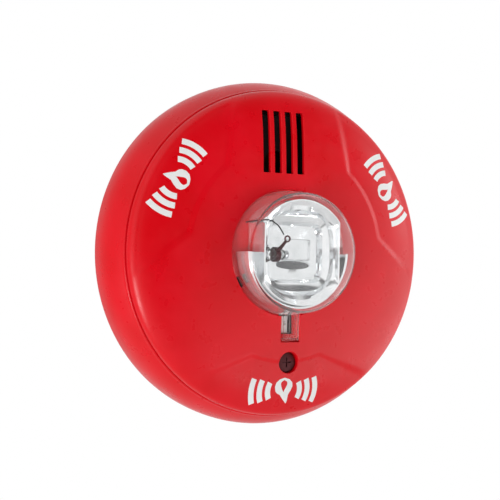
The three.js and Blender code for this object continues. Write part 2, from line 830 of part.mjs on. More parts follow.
function makeHorn() {
  const onBoard = boardTopZ + seat;
  const ductZ = boardTopZ + seat + hornDepth + seat;
  const ductTopZ = crownZ;
  const hornPlace = [grilleX, spigotInR - 7 - hornR];
  const throatPlace = [grilleX, slotInnerY + 6];
  const cup = rod(hornR, [onBoard, ductZ - seat], hornPlace, 32).subtract(
    rod(hornR - hornWall, [onBoard + hornWall, ductZ], hornPlace, 32),
  );
  addPiece("horn_cup", cup, blackPlastic);
  const discZ = onBoard + hornWall + seat;
  addPiece("piezo_disc", rod(piezoR, [discZ, discZ + piezoT], hornPlace, 32), brass);
  const halfW = (slotCount * slotPitch) / 2 + ductWall;
  const ends = [slotInnerY - ductWall, slotOuterY + 0.4];
  const duct = block(
    [grilleX - halfW, grilleX + halfW],
    ends,
    [ductZ, ductTopZ],
  ).subtract(
    block(
      [grilleX - halfW + ductWall, grilleX + halfW - ductWall],
      [ends[0] + ductWall, ends[1] - ductWall],
      [ductZ + ductWall, ductTopZ + cutOver],
    ),
  );
  const throat = rod(throatR, [ductZ - cutOver, ductTopZ], throatPlace);
  const roof = coverInside().map(([r, z]) => [r - seat, z - 1.5 * seat]);
  const underCover = turned(
    [[0, ductZ], [0, roof[0][1]], ...roof, [spigotInR - seat, ductZ]],
    casingSides,
  );
  const shape = duct.subtract(throat).intersect(underCover);
  addPiece("horn_duct", shape, blackPlastic);
}

// ---- Selectors ----------------------------------------------------------------------------------
function makeToneSelector() {
  const place = [dial.x, dial.y];
  const body = block(
    [dial.x - dial.bodyHalf, dial.x + dial.bodyHalf],
    [dial.y - dial.bodyHalf, dial.y + dial.bodyHalf],
    [rearTopZ + 1.8, boardZ - seat],
  );
  addPiece("tone_switch", body, blackPlastic);
  const face = rearZ + 0.5;
  const knob = rod(dial.r, [face, rearTopZ + 1.5], place, 32);
  const groove = block(
    [dial.x - 0.6, dial.x + 0.6],
    [dial.y - dial.r - 1, dial.y + dial.r * 0.6],
    [face - cutOver, face + 0.9],
  );
  addPiece("tone_dial", knob.subtract(groove), whitePlastic);
}

function makeCandelaSelector() {
  const stripZ = stripTopZ - stripT;
  const strip = block(
    [stripLeftX, stripRightX],
    [sliderY - stripHalfH, sliderY + stripHalfH],
    [stripZ, stripTopZ],
  );
  const stem = block(
    [sliderX - 1.4, sliderX + 1.4],
    [sliderY - 1.4, sliderY + 1.4],
    [rearZ - 1.5, stripZ + 0.5],
  );
  const knob = block(
    [sliderX - 3, sliderX + 3],
    [sliderY - 3, sliderY + 3],
    [rearZ - 2.2, rearZ - seat],
  );
  addPiece("candela_slider", strip.add(stem).add(knob), whitePlastic);
  const body = block(
    [sliderX - 6, sliderX + sliderTravel + 6],
    [sliderY - 7.6, sliderY - 2.6],
    [rearTopZ + 1.4, boardZ - seat],
  );
  addPiece("candela_switch", body, blackPlastic);
}

// ---- Captive screw ------------------------------------------------------------------------------
function makeCaptiveScrew() {
  const place = [windowX, screwY];
  const headZ = wellFloorZ + wellFloorT + seat;
  const head = rod(screwHeadR, [headZ, headZ + screwHeadH], place, 32);
  const shank = rod(screwR, [screwTipZ, headZ + 0.5], place, 24);
  const topZ = headZ + screwHeadH;
  const crossCuts = [
    [3, 0.55],
    [0.55, 3],
  ].map(([halfX, halfY]) =>
    block(
      [windowX - halfX, windowX + halfX],
      [screwY - halfY, screwY + halfY],
      [topZ - 1.4, topZ + cutOver],
    ),
  );
  let shape = head.add(shank);
  for (const cut of crossCuts) shape = shape.subtract(cut);
  addPiece("captive_screw", shape, steel);
  const washerTopZ = wellFloorZ - screwTravel - seat;
  const washer = turned(
    [
      [screwR + seat, washerTopZ - washerT],
      [guideR - 0.4, washerTopZ - washerT],
      [guideR - 0.4, washerTopZ],
      [screwR + seat, washerTopZ],
    ],
    24,
  ).translate([windowX, screwY, 0]);
  addPiece("retaining_washer", washer, blackPlastic);
}

// ---- Plugs between head and plate ---------------------------------------------------------------
function terminalX(index) {
  return (index - (terminalCount - 1) / 2) * terminalPitch;
}

function makeBlades() {
  for (const i of span(terminalCount)) {
    const blade = block(
      [terminalX(i) - bladeT / 2, terminalX(i) + bladeT / 2],
      [bladeY - bladeHalfW, bladeY + bladeHalfW],
      [plateT + 2, boardZ - seat],
    );
    addPiece(`contact_blade_${i + 1}`, blade, brass);
  }
}

function makeClips() {
  const low = plateT + 2 * seat;
  const topZ = blockTopZ - 0.3;
  for (const i of span(terminalCount)) {
    const x = terminalX(i);
    const half = clipGapHalf + clipT;
    const across = [bladeY - clipHalfW, bladeY + clipHalfW];
    const jaw = block([x - half, x + half], across, [low, topZ]);
    const gapInside = block(
      [x - clipGapHalf, x + clipGapHalf],
      [across[0] - cutOver, across[1] + cutOver],
      [low + clipT, topZ + cutOver],
    );
    addPiece(`contact_clip_${i + 1}`, jaw.subtract(gapInside), brass);
  }
}

// ---- Mounting plate and terminals ---------------------------------------------------------------
function makeMountingPlate() {
  const through = [-cutOver, plateT + plateLipH + cutOver];
  const lipTop = plateT + plateLipH;
  let shape = turned(
    [
      [0, 0],
      [plateR, 0],
      [plateR, lipTop],
      [plateR - plateLipW, lipTop],
      [plateR - plateLipW, plateT],
      [0, plateT],
    ],
    casingSides,
  );
  const railZ = hookZ + hookLugR + slip;
  for (const side of [-1, 1]) {
    const outer = hookHalfW + 2.2;
    const clear = block(
      [side * hookX - hookHalfW - 0.6, side * hookX + hookHalfW + 0.6],
      [hookY - 3, plateR + 2],
      through,
    );
    const rail = block(
      [side * hookX - outer, side * hookX + outer],
      [hookY + 1.3 - railDepth - 1, hookY + 1.3],
      [railZ, railZ + railT],
    );
    const ribs = [-1, 1].map((end) => {
      const x = side * hookX + end * (outer - 0.8);
      return block(
        [x - 0.8, x + 0.8],
        [hookY + 1.3 - railDepth - 1, hookY + 1.3],
        [0, railZ + railT],
      );
    });
    const root = block(
      [side * hookX - outer, side * hookX + outer],
      [hookY + 1.3 - railDepth - 1, hookY - 3],
      [0, railZ + railT],
    );
    shape = shape.subtract(clear).add(rail).add(root).add(ribs[0]).add(ribs[1]);
  }
  const boss = rod(5, [0, plateT + screwBossH], [windowX, screwY], 32);
  const bore = [screwTipZ - 1.4, plateT + screwBossH + cutOver];
  const bossBore = rod(screwR + slip, bore, [windowX, screwY]);
  shape = shape.add(boss).subtract(bossBore);
  for (const side of [-1, 1]) {
    const ends = [side * wireOpening.near, side * wireOpening.far].sort(
      (a, b) => a - b,
    );
    shape = shape.subtract(
      block([-wireOpening.halfW, wireOpening.halfW], ends, through),
    );
  }
  for (const angle of [45, 135, 225, 315])
    shape = shape.subtract(
      radialSlot(boxSlot.near, boxSlot.far, boxSlot.halfW, angle, through),
    );
  for (const angle of [0, 180])
    shape = shape.subtract(
      radialSlot(
        gangSlot.x - gangSlot.halfL,
        gangSlot.x + gangSlot.halfL,
        gangSlot.halfW,
        angle,
        through,
      ),
    );
  for (const side of [-1, 1]) {
    const lug = block(
      [side * 6 - 1.5, side * 6 + 1.5],
      [springY - 1.9, springY + 1.9],
      [plateT - 0.5, plateT + 2.4],
    );
    const slit = block(
      [-springHalfW - 2, springHalfW + 2],
      [springY - springT / 2 - 0.55, springY + springT / 2 + 0.55],
      [plateT, plateT + 4],
    );
    shape = shape.add(lug.subtract(slit));
  }
  addPiece("mounting_plate", shape, platePlastic);
}

function makeTerminalBlock() {
  const low = plateT + seat;
  let shape = block(
    [-blockHalfW, blockHalfW],
    [blockLowY, blockHighY],
    [low, blockTopZ],
  );
  for (const i of span(terminalCount - 1)) {
    const x = (terminalX(i) + terminalX(i + 1)) / 2;
    shape = shape.add(
      block([x - 0.8, x + 0.8], [blockLowY, 2], [blockTopZ - 1, blockTopZ + 3.4]),
    );
  }
  for (const i of span(terminalCount)) {
    const x = terminalX(i);
    const bore = rod(1.6 + seat, [low + 1.2, blockTopZ + cutOver], [x, terminalScrewY], 12);
    const pocket = block(
      [x - clipGapHalf - clipT - seat, x + clipGapHalf + clipT + seat],
      [bladeY - clipHalfW - 0.9, bladeY + clipHalfW + 0.9],
      [low - cutOver, blockTopZ + cutOver],
    );
    shape = shape.subtract(bore).subtract(pocket);
  }
  addPiece("terminal_block", shape, blackPlastic);
}

function makeTerminals() {
  for (const i of span(terminalCount)) {
    const place = [terminalX(i), terminalScrewY];
    const clampZ = blockTopZ + seat;
    const clamp = block(
      [place[0] - 4.2, place[0] + 4.2],
      [place[1] - 4.2, place[1] + 4.2],
      [clampZ, clampZ + 1],
    ).subtract(rod(1.6 + seat, [clampZ - cutOver, clampZ + 2], place, 12));
    addPiece(`wire_clamp_${i + 1}`, clamp, steel);
    const headZ = clampZ + 1 + seat;
    const head = rod(3.4, [headZ, headZ + 1.9], place, 20);
    const shank = rod(1.6, [plateT + seat + 1.6, headZ + 0.5], place, 12);
    const drive = block(
      [place[0] - 3.6, place[0] + 3.6],
      [place[1] - 0.45, place[1] + 0.45],
      [headZ + 0.9, headZ + 3],
    );
    const screw = head.add(shank).subtract(drive);
    addPiece(`terminal_screw_${i + 1}`, screw, steel);
  }
}

function makeShortingSpring() {
  const leaf = block(
    [-springHalfW, springHalfW],
    [springY - springT / 2, springY + springT / 2],
    [plateT + seat, plateT + 6.4],
  );
  addPiece("shorting_spring", leaf, brass);
}

makeSkirt();
makeFrontCover();
makeRearCover();
makeCoverScrews();
makeLens();
makeReflector();
makeFlashTube();
makeTrigger();
makeBoard();
makeElectronics();
makeHorn();
makeToneSelector();
makeCandelaSelector();
makeCaptiveScrew();
makeBlades();
makeClips();
makeMountingPlate();
makeTerminalBlock();
makeTerminals();
makeShortingSpring();

root.rotation.x = Math.PI / 2;

export default root;
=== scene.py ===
"""A round red horn strobe with a clear flash lens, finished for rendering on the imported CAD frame.

Shapes are drawn in a lying frame, in millimetres: x to the right, y up the wall and z out of the wall.
stand() turns them into the frame's metres, where +Z is up and the face looks along -Y.
"""
import json
import math

import bmesh
import bpy
import numpy as np
from mathutils import Matrix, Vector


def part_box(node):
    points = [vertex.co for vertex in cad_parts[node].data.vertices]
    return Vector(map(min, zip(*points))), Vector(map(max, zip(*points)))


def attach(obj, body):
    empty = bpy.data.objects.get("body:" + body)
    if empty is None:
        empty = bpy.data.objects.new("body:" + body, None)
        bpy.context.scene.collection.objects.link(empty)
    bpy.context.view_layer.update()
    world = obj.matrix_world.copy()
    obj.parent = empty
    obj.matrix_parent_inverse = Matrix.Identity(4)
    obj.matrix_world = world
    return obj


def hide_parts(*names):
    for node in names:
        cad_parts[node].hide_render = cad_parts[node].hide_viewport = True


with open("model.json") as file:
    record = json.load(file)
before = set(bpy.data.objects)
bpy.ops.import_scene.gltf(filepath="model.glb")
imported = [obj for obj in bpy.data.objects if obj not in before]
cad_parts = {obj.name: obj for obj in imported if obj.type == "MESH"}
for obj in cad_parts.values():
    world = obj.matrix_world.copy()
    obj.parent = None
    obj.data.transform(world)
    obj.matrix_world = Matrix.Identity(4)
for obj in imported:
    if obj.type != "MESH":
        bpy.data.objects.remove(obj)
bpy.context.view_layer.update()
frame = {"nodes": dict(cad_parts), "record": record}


def stand(points):
    """Lying millimetres (x, y, z) become standing metres (x, -z, y) / 1000."""
    points = np.asarray(points, float)
    return np.stack([points[..., 0], -points[..., 2], points[..., 1]], -1) / 1000


class Extent:
    """The box of a CAD node in the lying frame, as pairs of millimetres x, y and z."""

    def __init__(self, node):
        low, high = (np.array(corner) * 1000 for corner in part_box(node))
        self.x = (low[0], high[0])
        self.y = (low[2], high[2])
        self.z = (-high[1], -low[1])


# ---- Sizes ----
SKIRT, COVER, LENS = Extent("skirt"), Extent("front_cover"), Extent("lens")
REFLECTOR, TUBE, SCREW = Extent("reflector"), Extent("flash_tube"), Extent("captive_screw")
REAR, STRIP, BOARD = Extent("rear_cover"), Extent("candela_slider"), Extent("circuit_board")
SEAT = 0.3  # gap between pieces that rest on each other
SLIP = 0.5  # gap around a piece that passes through another
WALL = 2.3  # of the skirt and the front cover
TURNS = 360  # steps round the large turned pieces

BODY_R = SKIRT.x[1]
COVER_R = COVER.x[1]
SEAM_Z = SKIRT.z[1] + SEAT
RISE = 12.0  # of the front cover above the seam, in its middle
BULGE_Z = 9.0  # where the skirt is widest
REAR_Z = (REAR.z[1] - 2, REAR.z[1])  # the rear cover's flat back, without its hooks
CROWN_Z = SEAM_Z + RISE
ARCH = 3.0  # power of the superellipse in the cover's section

FACETS = (30, 150, 270)  # directions of the three facets, in degrees
FACET_DEPTH = 0.55
CREASE_R = 51.5  # of the crease's round middle
CREASE_KINK = (48.0, 18.4)  # where the round middle meets a straight side, outwards and sideways
CREASE_SLOPE = (0.36, 0.933)  # a step along the straight side, outwards and sideways
CREASE_WIDTH = 3.0  # of the step down from the face to a facet
FACET_FADE = 3.5  # over which a facet's depth runs out before the seam

LENS_R = LENS.x[1]
LENS_TOP_R = LENS_R - 1.7  # of the barrel just below the shoulder
LENS_TOP_Z = LENS.z[1]
LENS_WALL = 1.3
LENS_HOLE_R = LENS_R + SLIP
BARREL_TOP_Z = CROWN_Z + 13
SHOULDER_R = 3.4
RECESS_FLOOR_Z = CROWN_Z - 3.6
RECESS_WALL = 1.8
LENS_SEAT_Z = RECESS_FLOOR_Z + SEAT  # foot of the lens and of the reflector
LEG_ANGLES = (90, 210, 330)  # directions of the lens's three snap legs, in degrees
SEAT_HOLE_R = 19.5  # opening in the recess's floor for the reflector's stem

WINDOW_X = (SCREW.x[0] + SCREW.x[1]) / 2
WINDOW_HALF = 4.45
WINDOW_END_Y = LENS.y[0]
NOTCH_GAP = 0.7
NOTCH_HALF = WINDOW_HALF + NOTCH_GAP
NOTCH_FLOOR_Z = RECESS_FLOOR_Z - 0.05
SCREW_Y = (SCREW.y[0] + SCREW.y[1]) / 2
SCREW_HEAD_Z = SCREW.z[1] - 3.2  # underside of the captive screw's head
WELL_PLACE = (WINDOW_X, SCREW_Y)
WELL_R = 5.2
WELL_Z = REAR_Z[1] + SEAT  # lower end of the well's tube
POST_Z = BOARD.z[1] + SEAT  # lower ends of the posts that hold the board
BOSS_Z = REAR_Z[1] + 2 + 2 * SEAT  # lower ends of the cover screws' bosses

SLOT_COUNT = 4
SLOT_W = 3.9
SLOT_PITCH = 6.2
GRILLE_X = -3.5
SLOT_Y = (LENS_HOLE_R + 7.6, COVER_R - 11)

PRINT_R = 67.2  # from the face's middle to a pictogram's
SOUND_ARCS = (8.8, 13.2, 17.6)
SOUND_ARC_W = 2.8

BOWL_R = 25.6
BOWL_FLAT = 20.4  # half the distance between the bowl's flat sides
BOWL_TOP_Z = REFLECTOR.z[1]
POCKET_PLACE = (3, 1.6)
BOWL_STEPS = 240  # round each of the bowl's outlines
RING_R = REFLECTOR.x[1]
RING_TOP_Z = LENS_SEAT_Z + 13
WIRE_HOLE = (-21.6, 14.0)
TUBE_Y, TUBE_Z = sum(TUBE.y) / 2, sum(TUBE.z) / 2
TUBE_R = (TUBE.y[1] - TUBE.y[0]) / 2

STRIP_TOP_Z = STRIP.z[1]
STRIP_STEM = (-12.0, -LENS_R - 4.6)
STRIP_KNOB_Z = (REAR_Z[0] - 2.2, REAR_Z[0] - SEAT)
SHANK_R = 2.1
THREAD_PITCH = 0.7
THREAD_DEPTH = 0.16


# ---- Surfaces ----
def arc(centre, radius, start, stop, count):
    """Points at a radius from a centre, from one angle in degrees to another."""
    angle = np.radians(np.linspace(start, stop, count))
    return np.stack([centre[0] + radius * np.cos(angle), centre[1] + radius * np.sin(angle)], -1)


def circle(place, r, count):
    """Evenly spaced points round a full circle."""
    return arc(place, r, 0, 360 * (1 - 1 / count), count)


def straight(start, stop, count=2):
    """Evenly spaced points from a start to a stop."""
    return np.linspace(start, stop, count)


def grid_faces(rows, columns, rows_close=False, columns_close=True):
    """Quads between neighbouring points of a grid of rows and columns."""
    i, j = np.meshgrid(np.arange(rows - (not rows_close)),
                       np.arange(columns - (not columns_close)), indexing="ij")
    below, beside = (i + 1) % rows, (j + 1) % columns
    corners = [i * columns + j, i * columns + beside, below * columns + beside, below * columns + j]
    return np.stack(corners, -1).reshape(-1, 4)


def outward(points, faces):
    """The same surface with its faces turned so that the volume they enclose is positive."""
    a, b, c, d = (points[faces[:, k]] for k in range(4))
    volume = np.sum(a * np.cross(b, c)) + np.sum(a * np.cross(c, d))
    return points, faces if volume > 0 else faces[:, ::-1]


def turned(profile, segments=TURNS):
    """A section carried round z: (r, z) goes to (r cos a, r sin a, z) for a from 0 to a full turn.

    The section closes on itself, or it starts and ends on the axis.
    """
    profile = np.asarray(profile, float)
    angle = np.linspace(0, 2 * math.pi, segments, endpoint=False)
    r, z = profile[:, :1], profile[:, 1:]
    points = np.stack([r * np.cos(angle), r * np.sin(angle), z + 0 * angle], -1).reshape(-1, 3)
    closed = profile[0, 0] > 1e-6 or profile[-1, 0] > 1e-6
    return outward(points, grid_faces(len(profile), segments, rows_close=closed))


def stacked(outline, levels):
    """A solid of level outlines: at level (out, z) the outline is moved out by out and lifted to z.

    z is one height or one for each point. The first and last levels close onto their own middle.
    """
    tangent = np.roll(outline, -1, 0) - np.roll(outline, 1, 0)
    normal = np.stack([tangent[:, 1], -tangent[:, 0]], -1)
    normal /= np.linalg.norm(normal, axis=1, keepdims=True)
    rows = [np.column_stack([outline + out * normal, np.broadcast_to(z, len(outline))])
            for out, z in levels]
    closing = [np.tile(row.mean(0), (len(row), 1)) for row in (rows[0], rows[-1])]
    rows = [closing[0], *rows, closing[1]]
    return outward(np.concatenate(rows), grid_faces(len(rows), len(outline)))


def rounded_rectangle(x, y, corner, steps=5):
    """Outline between two x and two y values, with each corner an arc."""
    places = [(x[1], y[0], -90), (x[1], y[1], 0), (x[0], y[1], 90), (x[0], y[0], 180)]
    arcs = []
    for px, py, start in places:
        centre_x = px - math.copysign(corner, px - sum(x) / 2)
        centre_y = py - math.copysign(corner, py - sum(y) / 2)
        arcs.append(arc((centre_x, centre_y), corner, start, start + 90, steps))
    return np.concatenate(arcs)


def round_edges(z, edge, count=4):
    """Levels of a solid from z[0] to z[1] whose lower and upper rims are quarter circles."""
    turn = np.radians(np.linspace(0, 90, count))
    low = [(edge * (math.sin(t) - 1), z[0] + edge * (1 - math.cos(t))) for t in turn]
    high = [(edge * (math.cos(t) - 1), z[1] - edge * (1 - math.sin(t))) for t in turn]
    return low + high


def soft_block(x, y, z, edge=0.3, corner=0.6):
    """A block with rounded upright corners and rounded rims."""
    return stacked(rounded_rectangle(x, y, corner), round_edges(z, edge))


def soft_rod(r, z, place=(0, 0), edge=0.25, count=64):
    """A round bar along z with rounded rims."""
    return stacked(circle(place, r, count), round_edges(z, edge))


def bore(r, z, place, count=24):
    """A plain cylinder along z that cuts a round hole."""
    return stacked(circle(place, r, count), [(0, z[0]), (0, z[1])])


def swept(path, r, sides=16, closed=False):
    """A round bar along a path: each point carries a circle square to the path's direction.

    The radius is one number or one for each point. An open bar's ends close onto the path.
    """
    path = np.asarray(path, float)
    along = np.gradient(path, axis=0)
    if closed:
        along = np.roll(path, -1, 0) - np.roll(path, 1, 0)
    along /= np.linalg.norm(along, axis=1, keepdims=True)
    guide = np.eye(3)[np.argmin(np.abs(along).max(0))]
    across = np.cross(along, guide)
    across /= np.linalg.norm(across, axis=1, keepdims=True)
    other = np.cross(along, across)
    angle = np.linspace(0, 2 * math.pi, sides, endpoint=False)[None, :, None]
    radius = np.broadcast_to(np.asarray(r, float), len(path))[:, None, None]
    spokes = np.cos(angle) * across[:, None] + np.sin(angle) * other[:, None]
    rings = path[:, None] + radius * spokes
    if not closed:
        ends = [np.tile(path[k], (1, sides, 1)) for k in (0, -1)]
        rings = np.concatenate([ends[0], rings, ends[1]])
    return outward(rings.reshape(-1, 3), grid_faces(len(rings), sides, rows_close=closed))


def smooth_path(knots, count):
    """A curve through a few knots: a Catmull-Rom blend of four neighbours at each step."""
    knots = np.asarray(knots, float)
    padded = np.vstack([2 * knots[0] - knots[1], knots, 2 * knots[-1] - knots[-2]])
    place = np.linspace(0, len(knots) - 1 - 1e-9, count)
    k = place.astype(int)
    t = (place - k)[:, None]
    p0, p1, p2, p3 = (padded[k + step] for step in range(4))
    return 0.5 * (2 * p1 + (p2 - p0) * t + (2 * p0 - 5 * p1 + 4 * p2 - p3) * t ** 2
                  + (3 * p1 - p0 - 3 * p2 + p3) * t ** 3)


# ---- Meshes ----
def mesh_of(name, shells):
    """One mesh object from lying-frame surfaces, with doubled points merged."""
    points, faces, start = [], [], 0
    for shell_points, shell_faces in shells:
        points.append(shell_points)
        faces.append(shell_faces + start)
        start += len(shell_points)
    mesh = bpy.data.meshes.new(name)
    mesh.from_pydata(stand(np.concatenate(points)), [], np.concatenate(faces).tolist())
    work = bmesh.new()
    work.from_mesh(mesh)
    bmesh.ops.remove_doubles(work, verts=work.verts, dist=2e-7)
    work.to_mesh(mesh)
    work.free()
    obj = bpy.data.objects.new(name, mesh)
    bpy.context.scene.collection.objects.link(obj)
    return obj


def combined(obj, operation, shells):
    """Add shells to a solid, or cut them from it, one after another."""
    tools = []
    for shell in shells:
        tool = mesh_of("tool", [shell])
        step = obj.modifiers.new("step", "BOOLEAN")
        step.object, step.operation, step.solver = tool, operation, "MANIFOLD"
        tools.append(tool)
    made = bpy.data.meshes.new_from_object(obj.evaluated_get(bpy.context.evaluated_depsgraph_get()))
    obj.modifiers.clear()
    obj.data = made
    for tool in tools:
        bpy.data.objects.remove(tool)


def finished(obj, material, body, replaced=(), sharp=30):
    """Smooth the faces, keep the sharp edges, give the piece its finish, hang it on its body's empty and
    hide the CAD nodes it replaces.
    """
    obj.data.shade_smooth()
    obj.data.set_sharp_from_angle(angle=math.radians(sharp))
    obj.data.materials.clear()
    obj.data.materials.append(material)
    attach(obj, body)
    if replaced:
        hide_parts(*replaced)
    return obj


# ---- Finishes ----
class Finish:
    """A node material on Object coordinates, with helpers that add one node each."""

    def __init__(self, name, roughness, metallic=0.0):
        self.material = bpy.data.materials.new(name)
        self.material.use_nodes = True
        self.tree = self.material.node_tree
        self.shader = self.tree.nodes["Principled BSDF"]
        self.shader.inputs["Roughness"].default_value = roughness
        self.shader.inputs["Metallic"].default_value = metallic
        self.place = self.tree.nodes.new("ShaderNodeTexCoord").outputs["Object"]

    def link(self, source, target):
        self.tree.links.new(source, target)

    def stretch(self, scale):
        node = self.tree.nodes.new("ShaderNodeMapping")
        node.inputs["Scale"].default_value = scale
        self.link(self.place, node.inputs["Vector"])
        return node.outputs["Vector"]

    def noise(self, scale, detail=3.0, vector=None):
        node = self.tree.nodes.new("ShaderNodeTexNoise")
        node.inputs["Scale"].default_value = scale
        node.inputs["Detail"].default_value = detail
        self.link(vector or self.place, node.inputs["Vector"])
        return node.outputs["Fac"]

    def between(self, factor, dark, light, low=0.35, high=0.65):
        """A colour that runs from dark to light as the factor goes from low to high."""
        node = self.tree.nodes.new("ShaderNodeValToRGB")
        first, last = node.color_ramp.elements
        first.position, last.position = low, high
        first.color, last.color = (*dark, 1), (*light, 1)
        self.link(factor, node.inputs["Fac"])
        return node.outputs["Color"]

    def spread(self, factor, low, high):
        """A number that runs from low to high with the factor."""
        node = self.tree.nodes.new("ShaderNodeMapRange")
        node.inputs["From Min"].default_value = 0.3
        node.inputs["From Max"].default_value = 0.7
        node.inputs["To Min"].default_value = low
        node.inputs["To Max"].default_value = high
        self.link(factor, node.inputs["Value"])
        return node.outputs["Result"]

    def bump(self, height, strength, distance):
        node = self.tree.nodes.new("ShaderNodeBump")
        node.inputs["Strength"].default_value = strength
        node.inputs["Distance"].default_value = distance
        self.link(height, node.inputs["Height"])
        self.link(node.outputs["Normal"], self.shader.inputs["Normal"])


def moulded(name, dark, light, roughness, grain=2600, depth=2e-5, shine=0.5):
    """Moulded plastic: a slow drift of colour and gloss, and the fine grain of the mould."""
    f = Finish(name, roughness)
    f.link(f.between(f.noise(45), dark, light), f.shader.inputs["Base Color"])
    f.link(f.spread(f.noise(150), roughness - 0.04, roughness + 0.05), f.shader.inputs["Roughness"])
    f.bump(f.noise(grain, 2.0), 0.35, depth)
    f.shader.inputs["Specular IOR Level"].default_value = shine
    return f.material


def metal(name, dark, light, roughness, stretch=(1, 1, 12), grain=900, depth=4e-6, metallic=1.0):
    """Plated or stamped metal: fine drawn streaks in its colour, gloss and surface."""
    f = Finish(name, roughness, metallic)
    streak = f.noise(grain, 4.0, f.stretch(stretch))
    f.link(f.between(streak, dark, light), f.shader.inputs["Base Color"])
    f.link(f.spread(streak, roughness - 0.05, roughness + 0.08), f.shader.inputs["Roughness"])
    f.bump(streak, 0.3, depth)
    return f.material


def clear(name, tint, index, roughness, waviness, sheen=0.0):
    """Clear moulding or glass: refracting, faintly wavy as pressed, and open to the lamps' light."""
    f = Finish(name, roughness)
    f.shader.inputs["Transmission Weight"].default_value = 1.0
    f.shader.inputs["IOR"].default_value = index
    f.shader.inputs["Sheen Weight"].default_value = sheen
    f.link(f.between(f.noise(30), tint, (1, 1, 1)), f.shader.inputs["Base Color"])
    f.bump(f.noise(260, 2.0), 0.25, waviness)
    rays = f.tree.nodes.new("ShaderNodeLightPath")
    open_way = f.tree.nodes.new("ShaderNodeBsdfTransparent")
    mix = f.tree.nodes.new("ShaderNodeMixShader")
    f.link(rays.outputs["Is Shadow Ray"], mix.inputs["Fac"])
    f.link(f.shader.outputs["BSDF"], mix.inputs[1])
    f.link(open_way.outputs["BSDF"], mix.inputs[2])
    f.link(mix.outputs["Shader"], f.tree.nodes["Material Output"].inputs["Surface"])
    return f.material


def circuit(name):
    """Green solder mask with lighter copper tracks under it: thin edges of square cells."""
    f = Finish(name, 0.35)
    cells = f.tree.nodes.new("ShaderNodeTexBrick")
    cells.inputs["Scale"].default_value = 160
    cells.inputs["Mortar Size"].default_value = 0.035
    cells.inputs["Color1"].default_value = (0.008, 0.075, 0.03, 1)
    cells.inputs["Color2"].default_value = (0.01, 0.09, 0.036, 1)
    cells.inputs["Mortar"].default_value = (0.035, 0.19, 0.07, 1)
    turn = f.tree.nodes.new("ShaderNodeMapping")
    turn.inputs["Rotation"].default_value = (math.pi / 2, 0, 0)
    f.link(f.place, turn.inputs["Vector"])
    f.link(turn.outputs["Vector"], cells.inputs["Vector"])
    f.link(cells.outputs["Color"], f.shader.inputs["Base Color"])
    f.bump(cells.outputs["Fac"], 0.4, 3e-5)
    return f.material


def winding(name):
    """Enamelled wire wound round a core: rounded ridges along the depth of the casing."""
    f = Finish(name, 0.3)
    waves = f.tree.nodes.new("ShaderNodeTexWave")
    waves.bands_direction = "Y"
    waves.inputs["Scale"].default_value = 420
    waves.inputs["Distortion"].default_value = 0.6
    f.link(f.place, waves.inputs["Vector"])
    # The colour darkens into the grooves between the turns: painted shade.
    f.link(f.between(waves.outputs["Fac"], (0.12, 0.035, 0.012), (0.62, 0.25, 0.09), 0.1, 0.9),
           f.shader.inputs["Base Color"])
    f.bump(waves.outputs["Fac"], 0.8, 1e-4)
    return f.material


RED = moulded("red_casing", (0.67, 0.001, 0.006), (0.72, 0.002, 0.010), 0.3,
              grain=1100, depth=3e-6, shine=0.29)
PRINT = moulded("white_print", (0.80, 0.80, 0.79), (0.86, 0.86, 0.85), 0.5, grain=4000, depth=1e-5)
WHITE = moulded("white_moulding", (0.88, 0.88, 0.86), (0.93, 0.93, 0.91), 0.42)
GREY = moulded("dark_grey_moulding", (0.04, 0.042, 0.045), (0.055, 0.057, 0.06), 0.5)
PALE = moulded("off_white_moulding", (0.62, 0.61, 0.57), (0.68, 0.67, 0.63), 0.5)
BLACK = moulded("black_moulding", (0.004, 0.004, 0.004), (0.008, 0.008, 0.008), 0.5, shine=0.2)
SLEEVE = moulded("shrunk_sleeve", (0.01, 0.015, 0.045), (0.016, 0.022, 0.06), 0.3, grain=700, depth=4e-5)
CHROME = metal("bright_plating", (0.86, 0.88, 0.89), (0.95, 0.96, 0.97), 0.06,
               stretch=(1, 1, 1), grain=120, depth=8e-6, metallic=0.84)
STEEL = metal("zinc_plating", (0.5, 0.51, 0.53), (0.68, 0.69, 0.71), 0.3)
DARK_STEEL = metal("black_zinc_plating", (0.08, 0.012, 0.015), (0.11, 0.018, 0.022), 0.55, metallic=0.4)
# Near-black brass for the sounder's disc: painted shade, so that the disc seen through the grille's slots
# looks as dark as the horn behind them.
SHADE_DARK_BRASS = metal("brass_painted_shade", (0.012, 0.008, 0.004), (0.03, 0.018, 0.008), 0.5)
BRASS = metal("stamped_brass", (0.62, 0.43, 0.17), (0.78, 0.58, 0.28), 0.26)
LENS_CLEAR = clear("clear_lens_moulding", (0.975, 0.98, 0.98), 1.28, 0.015, 1.2e-5, sheen=0.24)
TUBE_CLEAR = clear("tube_glass_clear", (0.95, 0.97, 0.97), 1.47, 0.01, 6e-6)
MAROON = moulded("maroon_insulation", (0.045, 0.004, 0.007), (0.08, 0.007, 0.012), 0.35)
BOARD_GREEN = circuit("green_solder_mask")
COPPER = winding("wound_copper")

SLOT_FINISH = {
    "red_plastic": RED, "grey_plastic": GREY, "plate_plastic": PALE, "black_plastic": BLACK,
    "white_plastic": WHITE, "clear_lens": LENS_CLEAR, "tube_glass": TUBE_CLEAR, "chrome_plating": CHROME,
    "zinc_steel": STEEL, "dark_steel": DARK_STEEL, "brass": BRASS, "board": BOARD_GREEN,
    "copper": COPPER, "capacitor_sleeve": SLEEVE,
}


def dress_cad_nodes():
    """Every CAD node gets the finish of its own material slot; the sounder's disc gets a near-black brass,
    painted shade that keeps the grille's slots dark.
    """
    for subpart in frame["record"]["subparts"]:
        node = subpart["node"]
        mesh = frame["nodes"][node].data
        mesh.shade_smooth()
        mesh.set_sharp_from_angle(angle=math.radians(25))
        mesh.materials.clear()
        own = SLOT_FINISH[subpart["material_slot"]]
        mesh.materials.append(SHADE_DARK_BRASS if node == "piezo_disc" else own)


